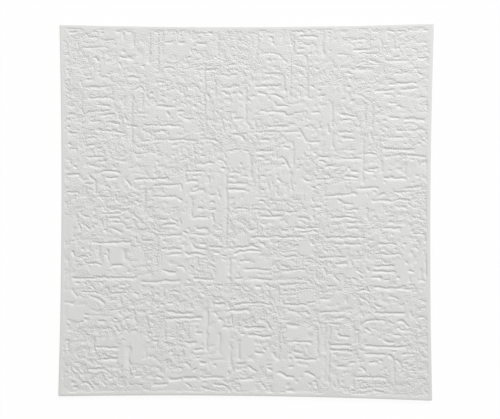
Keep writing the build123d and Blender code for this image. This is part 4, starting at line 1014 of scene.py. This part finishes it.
class TileSizes(bpy.types.PropertyGroup):
    side: bpy.props.FloatProperty(
        name="Side", description="Corner to corner, before the corners are rounded",
        default=0.5, unit="LENGTH", precision=4,
    )
    thickness: bpy.props.FloatProperty(
        name="Thickness", description="From the glue face to the rim",
        default=TILE_HIGH[2] - TILE_LOW[2], unit="LENGTH", precision=4,
    )
    side_hollow: bpy.props.FloatProperty(
        name="Hollow", description="How far the middle of each side draws in",
        default=0.0036, unit="LENGTH", precision=4,
    )
    corner_radius: bpy.props.FloatProperty(
        name="Corner radius", description="Radius of the four corners",
        default=0.0025, unit="LENGTH", precision=4,
    )
    edge_round: bpy.props.FloatProperty(
        name="Edge rounding", description="Radius of the upper edge",
        default=0.0008, unit="LENGTH", precision=4,
    )
    rim_width: bpy.props.FloatProperty(
        name="Rim width", description="Plain border round the pattern",
        default=0.005, unit="LENGTH", precision=4,
    )
    rim_fall: bpy.props.FloatProperty(
        name="Rim fall", description="How far the rim falls towards its outer edge",
        default=0.0003, unit="LENGTH", precision=4,
    )
    field_drop: bpy.props.FloatProperty(
        name="Field drop", description="From the rim down to the patterned field",
        default=0.0002, unit="LENGTH", precision=4,
    )
    stroke_depth: bpy.props.FloatProperty(
        name="Stroke depth", description="Depth of the boldest strokes",
        default=0.00115, unit="LENGTH", precision=4,
    )
    cells: bpy.props.IntProperty(
        name="Cells", description="Cells of the fine mesh along each side, before it is thinned",
        default=760, min=40,
    )
    triangles: bpy.props.IntProperty(
        name="Triangles", description="How many triangles are left of it", default=196000, min=5000,
    )
    scatter_tries: bpy.props.IntProperty(
        name="Scatter tries", description="How many small strokes are tried in the free ground",
        default=2200, min=0,
    )
    seed: bpy.props.IntProperty(name="Seed", description="Start of the random draws", default=11)


class TileColours(bpy.types.PropertyGroup):
    foam: bpy.props.FloatVectorProperty(
        name="Foam", description="Colour of the foam's skin",
        subtype="COLOR", size=3, min=0, max=1, default=linear("#D9D9D7"),
    )
    dense_foam: bpy.props.FloatVectorProperty(
        name="Denser foam", description="Colour where the foam is denser",
        subtype="COLOR", size=3, min=0, max=1, default=linear("#D4D5D2"),
    )
    crumb_height: bpy.props.FloatProperty(
        name="Crumb height", description="Height of the skin's fine crumbs",
        default=0.0004, unit="LENGTH", precision=5,
    )
    floor: bpy.props.FloatVectorProperty(
        name="Floor", description="Colour of the card under the tile",
        subtype="COLOR", size=3, min=0, max=1, default=linear("#F8F8F7"),
    )


class StageSizes(bpy.types.PropertyGroup):
    floor_side: bpy.props.FloatProperty(
        name="Floor side", description="Side of the card under the tile", default=6.0, unit="LENGTH",
    )
    camera_place: bpy.props.FloatVectorProperty(
        name="Camera place", description="Where the camera stands",
        subtype="XYZ", unit="LENGTH", precision=4, default=(0.0529, 0.0061, 1.2061),
    )
    camera_aim: bpy.props.FloatVectorProperty(
        name="Camera aim", description="The point that it looks at",
        subtype="XYZ", unit="LENGTH", precision=4, default=(0.0072, 0.0024, 0.0),
    )
    camera_roll: bpy.props.FloatProperty(
        name="Camera roll", description="How far it is turned about its line of sight",
        default=math.radians(0.23), subtype="ANGLE",
    )
    lens: bpy.props.FloatProperty(name="Lens", description="Focal length in millimetres", default=65.0)
    window_bearing: bpy.props.FloatProperty(
        name="Window bearing", description="Direction of the window light, turned from +X towards +Y",
        default=math.radians(71), subtype="ANGLE",
    )
    window_height: bpy.props.FloatProperty(
        name="Window height", description="Its angle above the floor",
        default=math.radians(30), subtype="ANGLE",
    )
    window_distance: bpy.props.FloatProperty(
        name="Window distance", description="From the middle of the tile", default=4.4, unit="LENGTH",
    )
    window_side: bpy.props.FloatProperty(
        name="Window side", description="Side of the square lamp", default=0.7, unit="LENGTH",
    )
    window_level: bpy.props.FloatProperty(
        name="Window level", description="Share of full white that it alone gives a flat face",
        default=0.455,
    )
    room_level: bpy.props.FloatProperty(
        name="Room level", description="Share of full white that the room alone gives a flat face",
        default=0.55,
    )


class CEILINGTILE_OT_press_tile(bpy.types.Operator):
    """Makes the foam tile with its relief in place of the plain CAD tile"""

    bl_idname = "ceilingtile.press_tile"
    bl_label = "Press the tile"

    def execute(self, context):
        sizes = context.scene.tile_sizes
        mesh = thinned(build_foam_mesh("foam_tile", sizes), sizes.triangles)
        mesh.materials.append(foam_material(context.scene.tile_colours))
        tile = bpy.data.objects.new("foam_tile", mesh)
        context.scene.collection.objects.link(tile)
        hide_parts("tile")
        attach(tile, "root")
        return {"FINISHED"}


def lay_floor(scene, side):
    """The square card under the tile, as an even grid of points."""
    line = np.linspace(-side / 2, side / 2, FLOOR_CELLS + 1)
    x, y = np.meshgrid(line, line)
    points = np.stack([x, y, np.full_like(x, -FLOOR_DROP)], -1).reshape(-1, 3)
    mesh = bpy.data.meshes.new("floor_card")
    mesh.from_pydata(points.tolist(), [], grid_quads(*x.shape)[0].tolist())
    mesh.materials.append(floor_material(scene.tile_colours))
    floor = bpy.data.objects.new("floor_card", mesh)
    scene.collection.objects.link(floor)


def hang_window(scene, sizes):
    """One soft square lamp, at a bearing and a height above the floor, facing the middle of the tile."""
    bearing, height, distance = sizes.window_bearing, sizes.window_height, sizes.window_distance
    flat = math.cos(height)
    toward = Vector((math.cos(bearing) * flat, math.sin(bearing) * flat, math.sin(height)))
    lamp = bpy.data.lights.new("window_light", "AREA")
    lamp.shape = "SQUARE"
    lamp.size = sizes.window_side
    # A flat face then gets pi times the level, which shows a colour at that share of full white
    lamp.energy = sizes.window_level * math.pi**2 * distance**2 / math.sin(height)
    window = bpy.data.objects.new("window_light", lamp)
    window.location = toward * distance
    window.rotation_euler = toward.to_track_quat("Z", "Y").to_euler()
    scene.collection.objects.link(window)


def light_room(scene, level):
    """Even light from all round, with a white background where the camera sees past the card."""
    world = bpy.data.worlds.new("soft_room")
    world.use_nodes = True
    tree = world.node_tree
    tree.nodes.clear()
    room, white = (
        add_node(tree, "ShaderNodeBackground", [("Color", (1.0, 1.0, 1.0, 1.0)), ("Strength", strength)])
        for strength in (level, 1.0)
    )
    seen = seen_directly(tree)
    mix = add_node(tree, "ShaderNodeMixShader", [(0, (seen, 0)), (1, (room, 0)), (2, (white, 0))])
    add_node(tree, "ShaderNodeOutputWorld", [("Surface", (mix, 0))])
    scene.world = world


def place_camera(scene, sizes):
    """The camera at its place, turned towards its aim with the picture's up along +Y, then rolled."""
    lens = bpy.data.cameras.new("camera")
    lens.lens = sizes.lens
    lens.sensor_width = 36.0
    camera = bpy.data.objects.new("camera", lens)
    place = Vector(sizes.camera_place)
    forward = (Vector(sizes.camera_aim) - place).normalized()
    right = forward.cross(Vector((0, 1, 0))).normalized()
    look = Matrix((right, right.cross(forward), -forward)).transposed().to_4x4()
    roll = Matrix.Rotation(sizes.camera_roll, 4, "Z")
    camera.matrix_world = Matrix.Translation(place) @ look @ roll
    scene.collection.objects.link(camera)
    scene.camera = camera


class CEILINGTILE_OT_set_stage(bpy.types.Operator):
    """Lays the card under the tile, hangs the window light, lights the room and sets up the camera"""

    bl_idname = "ceilingtile.set_stage"
    bl_label = "Set the stage"

    def execute(self, context):
        scene = context.scene
        sizes = scene.tile_stage
        lay_floor(scene, sizes.floor_side)
        hang_window(scene, sizes)
        light_room(scene, sizes.room_level)
        place_camera(scene, sizes)
        scene.view_settings.view_transform = "Standard"
        return {"FINISHED"}


class CEILINGTILE_PT_panel(bpy.types.Panel):
    bl_idname = "CEILINGTILE_PT_panel"
    bl_label = "Ceiling tile"
    bl_space_type = "VIEW_3D"
    bl_region_type = "UI"
    bl_category = "Ceiling tile"

    def draw(self, context):
        layout = self.layout
        for operator, group in (
            (CEILINGTILE_OT_press_tile, context.scene.tile_sizes),
            (None, context.scene.tile_colours),
            (CEILINGTILE_OT_set_stage, context.scene.tile_stage),
        ):
            box = layout.box()
            for name in group.__annotations__:
                box.prop(group, name)
            if operator:
                box.operator(operator.bl_idname)


GROUPS = {"tile_sizes": TileSizes, "tile_colours": TileColours, "tile_stage": StageSizes}
CLASSES = (*GROUPS.values(), CEILINGTILE_OT_press_tile, CEILINGTILE_OT_set_stage, CEILINGTILE_PT_panel)


def register():
    for cls in CLASSES:
        bpy.utils.register_class(cls)
    for name, group in GROUPS.items():
        setattr(bpy.types.Scene, name, bpy.props.PointerProperty(type=group))


def unregister():
    for name in GROUPS:
        delattr(bpy.types.Scene, name)
    for cls in reversed(CLASSES):
        bpy.utils.unregister_class(cls)


def main():
    register()
    bpy.ops.ceilingtile.press_tile()
    bpy.ops.ceilingtile.set_stage()
    bpy.context.view_layer.update()


if __name__ == "__main__":
    main()
